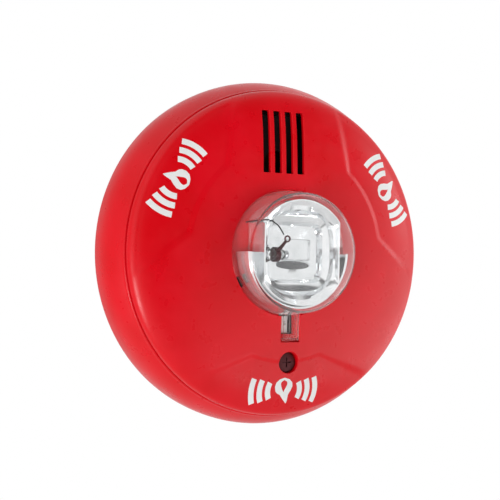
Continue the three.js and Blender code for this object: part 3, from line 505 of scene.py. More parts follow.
# ---- Casing ----
def skirt_r(z):
    """Radius of the skirt: a slight draft below the bulge, and a curve that leans in above it."""
    z = np.asarray(z, float)
    below = 0.6 * ((BULGE_Z - z) / BULGE_Z) ** 2
    above = (BODY_R - COVER_R) * (np.maximum(z - BULGE_Z, 0) / (SEAM_Z - BULGE_Z)) ** 2.2
    return BODY_R - np.where(z < BULGE_Z, below, above)


def skirt_section():
    """The skirt's closed section: outside, rounded top edge, inside, ledge and rounded back edge."""
    top_z, back_z, edge = SKIRT.z[1], SKIRT.z[0], 0.9
    ledge_z = REAR_Z[1] + SEAT
    outside_z = np.concatenate([
        straight(back_z + 0.5, BULGE_Z, 8), straight(BULGE_Z, top_z - edge, 34)[1:]])
    outside = np.column_stack([skirt_r(outside_z), outside_z])
    top = arc((skirt_r(top_z - edge) - edge, top_z - edge), edge, 12, 90, 6)
    inside_z = straight(top_z, ledge_z + 2, 12)
    inside = np.column_stack([skirt_r(inside_z) - WALL, inside_z])
    ledge = [(BOARD.x[1] + 2.5, ledge_z + 2), (BOARD.x[1] + 2.5, ledge_z)]
    below_z = straight(ledge_z, back_z, 6)
    below = np.column_stack([skirt_r(below_z) - WALL, below_z])
    back = arc((skirt_r(back_z) - 0.5, back_z + 0.5), 0.5, -90, -10, 4)
    return np.concatenate([outside, top, inside, ledge, below, back])


def cover_screw_places():
    """Centres of the four cover screws, on one circle."""
    return [arc((0, 0), BODY_R - 13.5, angle, angle, 1)[0] for angle in (22, 158, 202, 338)]


def make_skirt():
    """The skirt's section carried round z, with four holes through its ledge for the cover screws."""
    skirt = mesh_of("skirt_shell", [turned(skirt_section())])
    holes = [bore(2.0, (REAR_Z[1] - 1, REAR_Z[1] + 4), place) for place in cover_screw_places()]
    combined(skirt, "DIFFERENCE", holes)
    return finished(skirt, RED, "head", ["skirt"])


def arch_z(r):
    """Height of the turned cover: seam + rise (1 - (r / R)^3)^(1/3)."""
    share = np.clip(1 - (np.asarray(r, float) / COVER_R) ** ARCH, 0, None)
    return SEAM_Z + RISE * share ** (1 / ARCH)


def facet_drop(x, y):
    """Depth of the three facets below the turned face.

    With t as the share of the crease's width past the crease, from 0 to 1, it is the facets' depth
    times t^2 (3 - 2 t). The crease is round in its middle and straight at its sides. Near the seam
    the depth runs out in a straight line.
    """
    r = np.hypot(x, y)
    depth = np.zeros_like(r)
    for angle in np.radians(FACETS):
        out = x * np.cos(angle) + y * np.sin(angle)
        side = np.abs(y * np.cos(angle) - x * np.sin(angle))
        past = (out - CREASE_KINK[0]) * CREASE_SLOPE[1] - (side - CREASE_KINK[1]) * CREASE_SLOPE[0]
        inside = np.where(out > 0, np.minimum(r - CREASE_R, past), 0)
        share = np.clip(inside / CREASE_WIDTH, 0, 1)
        depth += FACET_DEPTH * share ** 2 * (3 - 2 * share)
    return depth * np.clip((COVER_R - r) / FACET_FADE, 0, 1)


def face_z(x, y):
    """Height of the cover's finished outside."""
    return arch_z(np.hypot(x, y)) - facet_drop(x, y)


def cover_section():
    """The cover's closed section as (r, z, share of the facets' depth): recess, face, rim, inside."""
    lip = 0.45
    lip_z = float(arch_z(LENS_HOLE_R)) - lip
    floor_z = RECESS_FLOOR_Z
    recess = np.concatenate([
        [(SEAT_HOLE_R, floor_z - RECESS_WALL), (SEAT_HOLE_R, floor_z - 0.2), (SEAT_HOLE_R + 0.2, floor_z)],
        straight((SEAT_HOLE_R + 0.4, floor_z), (LENS_HOLE_R - 0.2, floor_z), 6),
        [(LENS_HOLE_R, floor_z + 0.2)],
        straight((LENS_HOLE_R, floor_z + 0.5), (LENS_HOLE_R, lip_z), 4),
        arc((LENS_HOLE_R + lip, lip_z), lip, 170, 95, 5),
    ])
    face_r = np.concatenate([
        straight(LENS_HOLE_R + lip, 47.5, 16), straight(47.8, 63, 46), straight(64, 75.5, 14)])
    face = np.column_stack([face_r, arch_z(face_r)])
    start = math.degrees(math.acos((76.2 / COVER_R) ** (ARCH / 2)))
    turn = np.radians(np.linspace(start, 2.5, 18))
    rim = np.column_stack([
        COVER_R * np.cos(turn) ** (2 / ARCH), SEAM_Z + RISE * np.sin(turn) ** (2 / ARCH)])
    edge = arc((COVER_R - 1.0, SEAM_Z + 1.25), 1.0, 0, -90, 7)
    spigot_out = COVER_R - WALL - SEAT
    spigot_in = spigot_out - WALL
    spigot = [(spigot_out, SEAM_Z + 0.05), (spigot_out, SEAM_Z - 3.7), (spigot_out - 0.3, SEAM_Z - 4),
              (spigot_in + 0.3, SEAM_Z - 4), (spigot_in, SEAM_Z - 3.7)]
    inner_r = np.concatenate([
        straight(spigot_in, 70, 6), straight(68, 48, 16), straight(45, LENS_HOLE_R + RECESS_WALL, 5)])
    share = np.clip(1 - (inner_r / (COVER_R - WALL)) ** ARCH, 0, None)
    inner = np.column_stack([inner_r, SEAM_Z + (RISE - WALL) * share ** (1 / ARCH)])
    under = [(LENS_HOLE_R + RECESS_WALL, floor_z - RECESS_WALL)]
    parts = [(recess, 0), (face, 1), (rim, 1), (edge, 0), (spigot, 0), (inner, 1), (under, 0)]
    return np.concatenate([np.column_stack([part, np.full(len(part), drop)]) for part, drop in parts])


def cover_shell():
    """The cover's section carried round z, with the facets taken off the face and off the inside."""
    section = cover_section()
    points, faces = turned(section[:, :2])
    drop = facet_drop(points[:, 0], points[:, 1]) * np.repeat(section[:, 2], TURNS)
    points[:, 2] -= drop
    return points, faces


def face_cut(outline, low_z, lip=0.4):
    """A cutting tool through the face, flared so that the opening's edge is a small quarter round."""
    top = face_z(outline[:, 0], outline[:, 1])
    flare = [(lip * (1 - math.cos(t)), top - lip * (1 - math.sin(t))) for t in np.radians((0, 22, 45, 66))]
    widest = flare[-1][0] + 0.25 * lip
    return stacked(outline, [(0, low_z), *flare, (widest, top + 0.05), (widest, top + 3)])


def dense(outline, step=0.8):
    """The same closed outline with points at most a step apart."""
    after = np.roll(outline, -1, 0)
    rows = []
    for a, b in zip(outline, after):
        count = max(2, int(np.hypot(*(b - a)) / step) + 1)
        rows.append(straight(a, b, count)[:-1])
    return np.concatenate(rows)


def rotated(points, degrees):
    """Points turned about the middle line."""
    c, s = math.cos(math.radians(degrees)), math.sin(math.radians(degrees))
    return np.asarray(points) @ np.array([[c, s], [-s, c]])


def leg_outlines(half_width, inset, corner):
    """For each snap leg, a rounded rectangle that lies two insets inside the lens's radius."""
    outline = rounded_rectangle((-half_width, half_width), (LENS_R - inset[0], LENS_R - inset[1]), corner)
    return [rotated(outline, angle - 90) for angle in LEG_ANGLES]


def board_post_places():
    """Centres of the four posts that hold the board."""
    return [arc((0, 0), BOARD.x[1] - 7, angle, angle, 1)[0] for angle in (45, 135, 225, 315)]


def hanging_rod(r, low_z, place, gap, count=32):
    """A rod that grows from the inside of the face and ends a gap short of its outside."""
    return soft_rod(r, (low_z, float(face_z(*place)) - gap), place, 0.2, count)


def grille_slot(index):
    """The cutting tool of one grille slot."""
    x = GRILLE_X + (index - (SLOT_COUNT - 1) / 2) * SLOT_PITCH
    outline = rounded_rectangle((x - SLOT_W / 2, x + SLOT_W / 2), SLOT_Y, 0.35)
    return face_cut(dense(outline), SEAM_Z, 0.25)


def window_frame():
    """The block of plastic under the window's notch, from which the notch and the strip's slot are cut."""
    frame_wall = 1.4
    x = (WINDOW_X - NOTCH_HALF - frame_wall, WINDOW_X + NOTCH_HALF + frame_wall)
    y = (WINDOW_END_Y - NOTCH_GAP - frame_wall, -LENS_R - 2)
    return soft_block(x, y, (STRIP_TOP_Z + 0.45, RECESS_FLOOR_Z + 1.6), 0.2, 0.5)


def window_cuts():
    """The notch that takes the lens's window tab, and the slot through its floor over the strip."""
    inner_y = -SEAT_HOLE_R - 6
    notch = rounded_rectangle((WINDOW_X - NOTCH_HALF, WINDOW_X + NOTCH_HALF),
                              (WINDOW_END_Y - NOTCH_GAP, inner_y), 0.5)
    peep = rounded_rectangle((WINDOW_X - NOTCH_HALF, STRIP.x[1] + 0.6), (STRIP.y[0] - 0.4, inner_y), 0.4)
    return [face_cut(dense(notch), NOTCH_FLOOR_Z, 0.3),
            stacked(peep, [(0, STRIP_TOP_Z - 1), (0, NOTCH_FLOOR_Z + 1)])]


def well_cuts():
    """The well down to the screw head's seat, the hole for the shank and the room for the washer."""
    head_seat_z = SCREW_HEAD_Z - SEAT
    return [face_cut(circle(WELL_PLACE, WELL_R, 72), head_seat_z, 0.45),
            bore(2.6, (WELL_Z - 1, head_seat_z + 1), WELL_PLACE, 48),
            bore(4.4, (WELL_Z - 1, head_seat_z - 2), WELL_PLACE, 48)]


def make_front_cover():
    """The turned cover with posts, bosses, well and window frame added, and its openings cut."""
    posts, bosses = board_post_places(), cover_screw_places()
    cover = mesh_of("cover_shell", [cover_shell()])
    solids = [hanging_rod(3.2, POST_Z, place, 1.3) for place in posts]
    solids += [hanging_rod(3.6, BOSS_Z, place, 2.2) for place in bosses]
    solids.append(hanging_rod(WELL_R + 2, WELL_Z, WELL_PLACE, 1.6, 72))
    solids.append(window_frame())
    combined(cover, "UNION", solids)
    cuts = [grille_slot(index) for index in range(SLOT_COUNT)]
    cuts += window_cuts()
    cuts += well_cuts()
    cuts += [bore(1.4, (POST_Z - 1, POST_Z + 9), place) for place in posts]
    cuts += [bore(1.8, (BOSS_Z - 1, BOSS_Z + 11), place) for place in bosses]
    cuts += [stacked(outline, [(0, RECESS_FLOOR_Z - 3), (0, RECESS_FLOOR_Z + 1)])
             for outline in leg_outlines(2.7, (3.0, 0.2), 0.3)]
    combined(cover, "DIFFERENCE", cuts)
    return finished(cover, RED, "head", ["front_cover"])


# ---- Printed pictograms ----
def ink(outline_rows):
    """A thin printed film: a grid of places on the face, once 0.05 mm over it and once 0.04 mm under
    it, with quads round the border between the two."""
    rows, columns, _ = outline_rows.shape
    flat = outline_rows.reshape(-1, 2)
    base = face_z(flat[:, 0], flat[:, 1])
    top = np.column_stack([flat, base + 0.05]).reshape(rows, columns, 3)
    low = np.column_stack([flat, base - 0.04]).reshape(rows, columns, 3)
    edge_faces = grid_faces(rows, columns, columns_close=False)
    count = rows * columns
    index = np.arange(count).reshape(rows, columns)
    border = np.concatenate([index[0, :-1], index[:-1, -1], index[-1, :0:-1], index[:0:-1, 0]])
    after = np.roll(border, -1)
    sides = np.column_stack([border, after, after + count, border + count])
    points = np.concatenate([top.reshape(-1, 3), low.reshape(-1, 3)])
    faces = np.concatenate([edge_faces[:, ::-1], edge_faces + count, sides])
    return outward(points, faces)


def sound_arc(radius, width, half_angle, side):
    """A ring sector that opens towards one side, as rows of (across, up) points."""
    angle = np.radians(np.linspace(-half_angle, half_angle, 25))
    across = np.linspace(radius - width / 2, radius + width / 2, 5)[:, None]
    return np.stack([side * across * np.cos(angle), across * np.sin(angle)], -1)


def flame():
    """A flame as a left and a right half, each a grid of rows from its left edge to its right.

    Straight lines between knots (share of the height, left edge, right edge) give the outer edges. A
    drop is left open low in the middle: its half width follows half a sine wave, fuller at its foot.
    """
    t = np.linspace(0, 1, 49)
    knots = np.array([
        (0, -0.3, 0.3), (0.06, -2.7, 2.7), (0.18, -4.3, 4.4), (0.34, -4.6, 5.0), (0.5, -3.8, 4.6),
        (0.6, -3.0, 3.6), (0.66, -2.6, 1.9), (0.8, -2.5, 0.5), (0.92, -2.4, -0.9), (1, -2.1, -1.9)])
    left, right = (np.interp(t, knots[:, 0], knots[:, side]) for side in (1, 2))
    middle = np.interp(t, (0, 0.5, 1), (0, 0.2, -2.0))
    inside = np.clip((t - 0.1) / 0.46, 0, 1)
    gap = 1.9 * np.sin(math.pi * inside ** 0.6) * (1 - 0.3 * inside) + 0.01
    across = np.linspace(0, 1, 7)[:, None]
    up = np.broadcast_to(-6.3 + 12.8 * t, (7, 49))
    edges = ((left, middle - gap), (middle + gap, right))
    return [np.stack([a + across * (b - a), up], -1) for a, b in edges]


def make_pictograms():
    """A flame between sound waves, printed on each facet with its top outwards."""
    marks = flame()
    for radius in SOUND_ARCS:
        marks += [sound_arc(radius, SOUND_ARC_W, 34 - radius * 0.75, side) for side in (-1, 1)]
    for number, angle in enumerate(FACETS):
        shells = [ink(rotated(mark + np.array([0, PRINT_R]), angle - 90)) for mark in marks]
        finished(mesh_of(f"flame_and_sound_print_{number + 1}", shells), PRINT, "head")


# ---- Lens ----
def lens_line(inset):
    """The lens's section from the middle of its front to its foot, moved in by a wall: a shallow
    spherical front, a rounded shoulder and a barrel that widens to its foot."""
    edge_r = LENS_TOP_R - SHOULDER_R * 0.5
    edge_z = BARREL_TOP_Z + SHOULDER_R * 0.87
    sag = LENS_TOP_Z - edge_z
    dome_r = (edge_r ** 2 + sag ** 2) / (2 * sag)
    reach = math.degrees(math.asin(edge_r / dome_r))
    dome = arc((0, LENS_TOP_Z - dome_r), dome_r - inset, 90, 90 - reach + 1.2, 22)
    dome[0, 0] = 0
    shoulder = arc((LENS_TOP_R - SHOULDER_R, BARREL_TOP_Z), SHOULDER_R - inset, 56, 2, 12)
    foot = (LENS_R - inset, LENS_SEAT_Z)
    return np.concatenate([dome, shoulder, straight(shoulder[-1], foot, 10)[1:]])


def make_lens():
    """The lens's section carried round z, with its window tab, a pocket under the tab, and snap legs."""
    outside, inside = lens_line(0), lens_line(LENS_WALL)
    lens = mesh_of("lens_shell", [turned(np.concatenate([outside, inside[::-1]]), 256)])
    across = (WINDOW_X - WINDOW_HALF, WINDOW_X + WINDOW_HALF)
    top_z = float(arch_z(LENS_R)) + 0.5
    solids = [soft_block(across, (WINDOW_END_Y, -LENS_R + 1.0), (LENS_SEAT_Z, top_z), 0.35, 0.7)]
    for leg, barb in zip(leg_outlines(2.5, (1.8, 0.4), 0.2), leg_outlines(2.5, (2.8, 1.2), 0.2)):
        solids.append(stacked(leg, round_edges((LENS.z[0], LENS_SEAT_Z + 1), 0.2)))
        solids.append(stacked(barb, round_edges((LENS.z[0], LENS.z[0] + 1.2), 0.2)))
    combined(lens, "UNION", solids)
    tab_wall = 0.8
    pocket = rounded_rectangle((across[0] + tab_wall, across[1] - tab_wall),
                               (WINDOW_END_Y + tab_wall, -LENS_R + 0.4), 0.4)
    levels = [(0, LENS_SEAT_Z - 1), (0, top_z - 1.1), (-0.3, top_z - 0.8)]
    combined(lens, "DIFFERENCE", [stacked(pocket, levels)])
    return finished(lens, LENS_CLEAR, "head", ["lens"], sharp=35)


# ---- Light ----
def squircle(half, power, centre=(0, 0), count=BOWL_STEPS):
    """A rounded square outline: |x / a|^p + |y / b|^p = 1 about a centre."""
    angle = np.linspace(0, 2 * math.pi, count, endpoint=False)
    c, s = np.cos(angle), np.sin(angle)
    r = (np.abs(c / half[0]) ** power + np.abs(s / half[1]) ** power) ** (-1 / power)
    return np.stack([centre[0] + r * c, centre[1] + r * s], -1)


def flat_sided(radius, flat):
    """A circle whose left and right sides are cut back to flats."""
    outline = squircle((radius, radius), 2)
    outline[:, 0] = np.clip(outline[:, 0], -flat, flat)
    return outline


def curved_bar(r, z, turn, corner):
    """A rectangular bar carried round z from one angle to another, with both ends closed."""
    section = rounded_rectangle(r, z, corner)
    rows = [np.column_stack([section[:, 0] * math.cos(a), section[:, 0] * math.sin(a), section[:, 1]])
            for a in np.radians(np.linspace(*turn, 90))]
    ends = [np.tile(row.mean(0), (len(row), 1)) for row in (rows[0], rows[-1])]
    rows = [ends[0], *rows, ends[1]]
    return outward(np.concatenate(rows), grid_faces(len(rows), len(section)))


def bowl_levels():
    """The bowl's outlines with their heights, from the middle of its pocket up to the rim and down."""
    base_z, top_z = LENS_SEAT_Z, BOWL_TOP_Z
    pocket = squircle((8, 5), 14, POCKET_PLACE)
    steps = [((13.2, 13.0), 7, 5.4), ((13.5, 13.4), 7, 5.8), ((14.4, 14.6), 6, 9.4), ((14.9, 15.2), 6, 9.8),
             ((17.6, 18.4), 3.4, 10.8), ((18.0, 19.0), 3.2, 11.4), ((18.6, 20.4), 2.8, 13.4)]
    return [
        (pocket * 0 + POCKET_PLACE, base_z + 2.6),
        (squircle((7.8, 4.8), 14, POCKET_PLACE), base_z + 2.6),
        (pocket, base_z + 2.8),
        (pocket, base_z + 4.0),
        (squircle((8.4, 5.4), 14, POCKET_PLACE), base_z + 4.1),
        *((squircle(half, power), base_z + rise) for half, power, rise in steps),
        (flat_sided(22.4, BOWL_FLAT - 1.4), base_z + 13.9),
        (flat_sided(BOWL_R - 1.2, BOWL_FLAT - 0.8), top_z - 0.2),
        (flat_sided(BOWL_R - 1.0, BOWL_FLAT - 0.6), top_z),
        (flat_sided(BOWL_R - 0.6, BOWL_FLAT - 0.2), top_z),
        (flat_sided(BOWL_R - 0.4, BOWL_FLAT), top_z - 0.2),
        (flat_sided(BOWL_R, BOWL_FLAT), base_z + 1.4),
        (flat_sided(BOWL_R, BOWL_FLAT), base_z),
        (pocket * 0, base_z),
    ]


def reflector_cuts():
    """The hollow of the stem, the tube's room, the wire's hole and groove, the leads' holes and a
    slanting trough in the floor."""
    base_z, top_z = LENS_SEAT_Z, BOWL_TOP_Z
    room_x, room_y = (TUBE.x[0] - 3, TUBE.x[1] + 3), (TUBE_Y - 3.9, TUBE_Y + 3.9)
    trough = squircle((9.6, 2.3), 2.2, (1.0, TUBE_Y - 4.6), 96)
    slant = base_z + 4.7 - 0.36 * (trough[:, 1] - trough[:, 1].min())
    return [
        soft_rod(SEAT_HOLE_R - SLIP - 1.2, (BOARD.z[1] - 1, base_z + 0.6), (0, 0), 0.2, 96),
        soft_block(room_x, room_y, (TUBE_Z - 4, top_z + 2), 0.5, 1),
        bore(1.0, (base_z - 1, top_z - 1), WIRE_HOLE),
        soft_block((-23.6, -9.6), (13.4, 16.2), (top_z - 1.6, top_z + 1), 0.3, 0.5),
        *(bore(1.0, (base_z - 1, TUBE_Z), (x, TUBE_Y)) for x in (TUBE.x[0] - 1.05, TUBE.x[1] + 1.05)),
        stacked(trough, [(0, slant), (0, base_z + 6)]),
    ]


def make_reflector():
    """The bowl is a stack of outlines that change from a square pocket to the round rim. A half disc
    with a half ring on it lies round its lower half, and a stem holds it on the board."""
    levels = bowl_levels()
    points = np.concatenate([
        np.column_stack([outline, np.full(len(outline), z)]) for outline, z in levels])
    bowl = mesh_of("reflector_bowl", [outward(points, grid_faces(len(levels), BOWL_STEPS))])
    half_ring = curved_bar((RING_R - 1.2, RING_R), (LENS_SEAT_Z, RING_TOP_Z), (180, 360), 0.3)
    # A black strip inside the lower right of the ring: painted shade, a dark piece that stands in for the
    # dark the ring's inner wall shows there.
    shade_strip_r, shade_strip_z = (RING_R - 1.5, RING_R - 1.25), (LENS_SEAT_Z + 2.6, RING_TOP_Z - 0.4)
    shade_strip = curved_bar(shade_strip_r, shade_strip_z, (306, 356), 0.08)
    finished(mesh_of("ring_painted_shade_strip", [shade_strip]), BLACK, "head")
    web_r = RING_R - 0.3
    web_outline = np.concatenate([arc((0, 0), web_r, 180, 360, 90), [(web_r, 0.0), (-web_r, 0.0)]])
    web = stacked(web_outline, [(0, LENS_SEAT_Z), (0, LENS_SEAT_Z + 2.2)])
    stem = soft_rod(SEAT_HOLE_R - SLIP, (POST_Z, LENS_SEAT_Z + 1), (0, 0), 0.3, 96)
    combined(bowl, "UNION", [web, half_ring, stem])
    combined(bowl, "DIFFERENCE", reflector_cuts())
    return finished(bowl, CHROME, "head", ["reflector"], sharp=24)


def make_flash_tube():
    """A glass rod whose radius follows a root of a sine at its ends, and two end caps on leads."""
    run = np.linspace(0, 1, 24)
    ends = np.sin(np.clip(np.minimum(run, 1 - run) / 0.12, 0, 1) * math.pi / 2) ** 0.5
    x = TUBE.x[0] + (TUBE.x[1] - TUBE.x[0]) * run
    path = np.column_stack([x, np.full(24, TUBE_Y), np.full(24, TUBE_Z)])
    glass = mesh_of("flash_tube_glass", [swept(path, np.maximum(TUBE_R * ends, 0.3), 40)])
    finished(glass, TUBE_CLEAR, "head", ["flash_tube"])
    barrel_r = [1.7, 2.0, 2.0, 2.0, 2.0, 1.7]
    for side in ("left", "right"):
        cap = Extent(f"tube_cap_{side}")
        lead_x = (cap.x[0] + cap.x[1]) / 2
        barrel = swept([(x, TUBE_Y, TUBE_Z) for x in np.linspace(cap.x[0], cap.x[1], 6)], barrel_r, 32)
        lead = swept([(lead_x, TUBE_Y, z) for z in np.linspace(cap.z[0], TUBE_Z, 12)], 0.5, 16)
        piece = mesh_of(f"tube_cap_{side}_turned", [barrel])
        combined(piece, "UNION", [lead])
        finished(piece, STEEL, "head", [f"tube_cap_{side}"])


def trigger_clip_shells(eye):
    """A band round the tube, an arm that rises from it, and an eyelet at the arm's end."""
    x = sum(TUBE.x) / 2
    turn = np.radians(np.linspace(0, 360, 48, endpoint=False))
    band = stacked_band(x, 2.8, TUBE_Y, TUBE_Z, TUBE_R + SEAT, TUBE_R + SEAT + 0.7)
    arm_knots = [
        (x, TUBE_Y + TUBE_R * 0.72, TUBE_Z + TUBE_R * 1.02),
        (x + 1.8, TUBE_Y + TUBE_R + 1.4, eye[2] - 0.2),
        (eye[0] - 0.8, eye[1] - 1.1, eye[2]),
    ]
    arm = swept(smooth_path(arm_knots, 14), np.linspace(1.05, 0.7, 14), 14)
    ring_path = [eye[0] + 1.3 * np.cos(turn), eye[1] + 1.3 * np.sin(turn), np.full(48, eye[2])]
    ring = swept(np.column_stack(ring_path), 0.42, 12, closed=True)
    return band, arm, ring


def make_trigger():
    """The clip on the tube, and its thin wire, which is swept along a smooth curve through knots."""
    clip, wire = Extent("trigger_clip"), Extent("trigger_wire")
    eye = (clip.x[1] - 1.75, clip.y[1] - 1.75, RECESS_FLOOR_Z + 13)
    band, arm, ring = trigger_clip_shells(eye)
    piece = mesh_of("trigger_clip_moulded", [band])
    combined(piece, "UNION", [arm, ring])
    finished(piece, MAROON, "head", ["trigger_clip"])
    hole_x, hole_y = WIRE_HOLE
    groove_z = BOWL_TOP_Z - 0.8
    knots = [
        (wire.x[0] + 0.4, 7, BOARD.z[1] + 5), (hole_x - 8, 10.5, BOARD.z[1] + 6),
        (hole_x - 1, hole_y - 0.5, RECESS_FLOOR_Z - 5), (hole_x, hole_y, RECESS_FLOOR_Z),
        (hole_x, hole_y + 0.5, groove_z - 1.5), (hole_x + 1.4, hole_y + 0.8, groove_z),
        (hole_x + 5, hole_y + 0.6, groove_z - 0.2), (eye[0] - 5.4, eye[1] + 5.8, eye[2] + 1),
        (eye[0] - 2, eye[1] + 2, eye[2]),
    ]
    finished(mesh_of("trigger_wire_drawn", [swept(smooth_path(knots, 140), 0.3, 12)]),
             BLACK, "head", ["trigger_wire"])


def stacked_band(x, width, y, z, inner, outer):
    """A short sleeve along x: a closed rectangular section carried round the tube's axis."""
    profile = [(inner, x - width / 2), (outer - 0.2, x - width / 2), (outer, x - width / 2 + 0.2),
               (outer, x + width / 2 - 0.2), (outer - 0.2, x + width / 2), (inner, x + width / 2)]
    points, faces = turned(profile, 64)
    return outward(np.column_stack([points[:, 2], y + points[:, 0], z + points[:, 1]]), faces)


# ---- Brightness strip and captive screw ----
def number_shell(text, centre, height, top_z):
    """Raised figures on a flat face: the built-in type, made a mesh before it is moved to its place."""
    curve = bpy.data.curves.new("figures", "FONT")
    curve.body, curve.size, curve.extrude = text, height, 0.03
    curve.align_x, curve.align_y = "CENTER", "CENTER"
    maker = bpy.data.objects.new("figures", curve)
    bpy.context.scene.collection.objects.link(maker)
    mesh = bpy.data.meshes.new_from_object(maker.evaluated_get(bpy.context.evaluated_depsgraph_get()))
    bpy.data.objects.remove(maker)
    flat = np.empty(len(mesh.vertices) * 3)
    mesh.vertices.foreach_get("co", flat)
    points = flat.reshape(-1, 3) + (*centre, top_z)
    mesh.vertices.foreach_set("co", stand(points).ravel())
    obj = bpy.data.objects.new("figures", mesh)
    bpy.context.scene.collection.objects.link(obj)
    return obj


def make_candela_slider():
    """The strip, the stem that carries it through the board, and its knob, each a soft block."""
    x, y = STRIP_STEM
    strip = mesh_of("candela_strip", [
        soft_block(STRIP.x, STRIP.y, (STRIP_TOP_Z - 1.2, STRIP_TOP_Z), 0.15, 0.4)])
    stem = soft_block((x - 1.4, x + 1.4), (y - 1.4, y + 1.4), (REAR_Z[0] - 1.5, STRIP_TOP_Z - 0.7), 0.2, 0.3)
    knob = soft_block((x - 3, x + 3), (y - 3, y + 3), STRIP_KNOB_Z, 0.4, 0.6)
    combined(strip, "UNION", [stem, knob])
    finished(strip, WHITE, "candela_slider", ["candela_slider"])
    end_line = soft_block((STRIP.x[1] - 1.3, STRIP.x[1] - 0.3), (STRIP.y[0] + 0.2, STRIP.y[1] - 0.2),
                          (STRIP_TOP_Z - 0.05, STRIP_TOP_Z + 0.05), 0.02, 0.1)
    finished(mesh_of("strip_end_line", [end_line]), BLACK, "candela_slider")
    figures = number_shell("15", (WINDOW_X - 1.3, y + 0.4), 3.2, STRIP_TOP_Z + 0.02)
    finished(figures, BLACK, "candela_slider")
    figures.name = "strip_figures"


def make_captive_screw():
    """A head with a cross recess on a turned shank.

    The thread is a row of rings: its radius is the shank's less half the thread's depth times
    1 + cos(2 pi z / pitch).
    """
    head_r = (SCREW.x[1] - SCREW.x[0]) / 2
    head = soft_rod(head_r, (SCREW_HEAD_Z, SCREW.z[1]), WELL_PLACE, 0.5, 96)
    screw = mesh_of("captive_screw_turned", [head])
    thread_z = np.linspace(SCREW.z[0] + 0.4, SCREW_HEAD_Z - 4, 260)
    thread_r = SHANK_R - THREAD_DEPTH * (0.5 + 0.5 * np.cos(2 * math.pi * thread_z / THREAD_PITCH))
    profile = [(0, SCREW.z[0]), (1.5, SCREW.z[0]), *np.column_stack([thread_r, thread_z]),
               (SHANK_R, SCREW_HEAD_Z - 3.5), (SHANK_R, SCREW_HEAD_Z + 0.5), (0, SCREW_HEAD_Z + 0.5)]
    points, faces = turned(profile, 32)
    points[:, :2] += WELL_PLACE
    combined(screw, "UNION", [(points, faces)])
    recess_z = (SCREW.z[1] - 0.8, SCREW.z[1] + 1)
    arms = [soft_block((WINDOW_X - a, WINDOW_X + a), (SCREW_Y - b, SCREW_Y + b), recess_z, 0.1, 0.15)
            for a, b in ((2.4, 0.35), (0.35, 2.4))]
    combined(screw, "DIFFERENCE", arms)
    return finished(screw, DARK_STEEL, "captive_screw", ["captive_screw"])


# ---- Studio ----
def make_camera(yaw, pitch, roll, distance, lens, shift):
    """A camera that looks at the origin after the lying frame has been turned by three angles."""
    (cy, sy), (cp, sp), (cr, sr) = ((math.cos(math.radians(a)), math.sin(math.radians(a)))
                                    for a in (yaw, pitch, roll))
    about_y = np.array([[cy, 0, sy], [0, 1, 0], [-sy, 0, cy]])
    about_x = np.array([[1, 0, 0], [0, cp, -sp], [0, sp, cp]])
    about_z = np.array([[cr, -sr, 0], [sr, cr, 0], [0, 0, 1]])
    axes = stand(about_z @ about_x @ about_y) * 1000
    matrix = np.eye(4)
    matrix[:3, :3] = axes.T
    matrix[:3, 3] = axes[2] * distance
    data = bpy.data.cameras.new("camera")
    data.lens = lens
    data.shift_x, data.shift_y = shift
    camera = bpy.data.objects.new("camera", data)
    bpy.context.scene.collection.objects.link(camera)
    camera.matrix_world = Matrix(matrix.tolist())
    bpy.context.scene.camera = camera


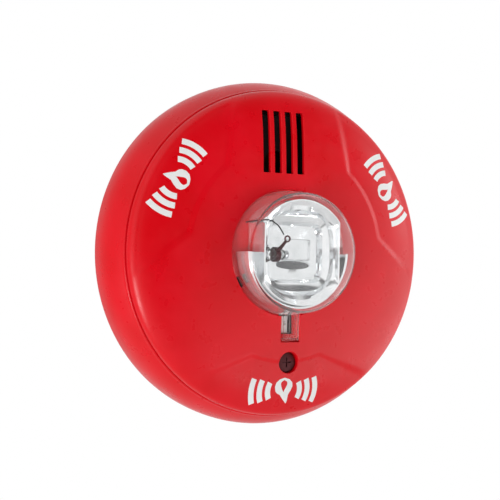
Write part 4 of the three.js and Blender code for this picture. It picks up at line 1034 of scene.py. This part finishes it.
def make_world():
    """A white tent, dark straight in front and dimmer behind to the left, with a wide lamp to the lower
    right. Light that has passed through the lens meets white with two dark bands instead, and the
    camera sees plain white."""
    world = bpy.data.worlds.new("studio_tent")
    bpy.context.scene.world = world
    world.use_nodes = True
    tree = world.node_tree
    tree.nodes.clear()
    new = tree.nodes.new
    direction = new("ShaderNodeTexCoord").outputs["Generated"]

    def toward(axis, smooth, values):
        """A strength that follows how far the direction points along an axis."""
        dot = new("ShaderNodeVectorMath")
        dot.operation = "DOT_PRODUCT"
        dot.inputs[1].default_value = axis
        tree.links.new(direction, dot.inputs[0])
        shade = new("ShaderNodeMapRange")
        shade.interpolation_type = "SMOOTHSTEP" if smooth else "LINEAR"
        for name, value in zip(("From Min", "From Max", "To Min", "To Max"), values):
            shade.inputs[name].default_value = value
        tree.links.new(dot.outputs["Value"], shade.inputs["Value"])
        return shade.outputs["Result"]

    def blended(operation, first, second):
        """Two strengths added or multiplied."""
        node = new("ShaderNodeMath")
        node.operation = operation
        tree.links.new(first, node.inputs[0])
        tree.links.new(second, node.inputs[1])
        return node.outputs["Value"]

    dim = blended("MULTIPLY", toward((0.2, -0.94, 0.27), True, (0.48, 0.9, 1.05, 0.03)),
                  toward((-0.62, 0.78, 0.05), True, (0.2, 0.95, 1.0, 0.4)))
    tent = blended("ADD", dim, toward((0.7, -0.5, -0.5), True, (0.66, 0.93, 0.0, 2.1)))
    bands = new("ShaderNodeValToRGB")
    ramp = bands.color_ramp.elements
    white, dark = (0.9, 0.9, 0.9, 1), (0.03, 0.03, 0.03, 1)
    ramp[0].position, ramp[0].color = 0.0, white
    ramp[1].position, ramp[1].color = 1.0, white
    for place, shade in ((0.13, white), (0.17, dark), (0.27, dark), (0.31, white),
                         (0.67, white), (0.71, dark), (0.81, dark), (0.85, white)):
        ramp.new(place).color = shade
    tree.links.new(toward((0.0, 0.0, 1.0), False, (-1, 1, 0, 1)), bands.inputs["Fac"])
    rays, out = new("ShaderNodeLightPath"), new("ShaderNodeOutputWorld")
    shader = None
    parts = ((tent, None), (bands.outputs["Color"], "Transmission Depth"), (None, "Is Camera Ray"))
    for strength, ray in parts:
        part = new("ShaderNodeBackground")
        part.inputs["Color"].default_value = (1, 1, 1, 1)
        if strength:
            tree.links.new(strength, part.inputs["Strength"])
        if ray:
            mix = new("ShaderNodeMixShader")
            tree.links.new(rays.outputs[ray], mix.inputs["Fac"])
            tree.links.new(shader, mix.inputs[1])
            tree.links.new(part.outputs["Background"], mix.inputs[2])
            shader = mix.outputs["Shader"]
        else:
            shader = part.outputs["Background"]
    tree.links.new(shader, out.inputs["Surface"])


def make_softbox(name, place, size, power):
    """A square area light that faces the origin."""
    light = bpy.data.lights.new(name, "AREA")
    light.size, light.energy = size, power
    lamp = bpy.data.objects.new(name, light)
    bpy.context.scene.collection.objects.link(lamp)
    back = np.array(place) / np.linalg.norm(place)
    right = np.cross((0, 0, 1), back)
    right /= np.linalg.norm(right)
    matrix = np.eye(4)
    matrix[:3, :3] = np.column_stack([right, np.cross(back, right), back])
    matrix[:3, 3] = place
    lamp.matrix_world = Matrix(matrix.tolist())


def make_floor():
    """A pale square below the object."""
    half, low = 0.6, -0.36
    mesh = bpy.data.meshes.new("pale_floor")
    mesh.from_pydata([(-half, -half, low), (half, -half, low), (half, half, low), (-half, half, low)],
                     [], [(0, 1, 2, 3)])
    floor = bpy.data.objects.new("pale_floor", mesh)
    bpy.context.scene.collection.objects.link(floor)
    f = Finish("pale_floor_paint", 0.8)
    f.link(f.between(f.noise(6), (0.86, 0.86, 0.86), (0.9, 0.9, 0.9)), f.shader.inputs["Base Color"])
    mesh.materials.append(f.material)


dress_cad_nodes()
make_skirt()
make_front_cover()
make_pictograms()
make_lens()
make_reflector()
make_flash_tube()
make_trigger()
make_candela_slider()
make_captive_screw()
make_camera(26.84, -0.87, -1.08, 0.55, lens=76.23, shift=(-0.0052, 0.0064))
make_world()
make_softbox("key_softbox", (0.5, -0.76, -0.8), 0.6, 13)
make_softbox("left_softbox", (-0.95, -0.4, -0.5), 0.45, 9)
make_softbox("right_softbox", (0.95, -0.5, 0.28), 0.35, 1.5)
make_floor()
bpy.context.scene.view_settings.view_transform = "Standard"
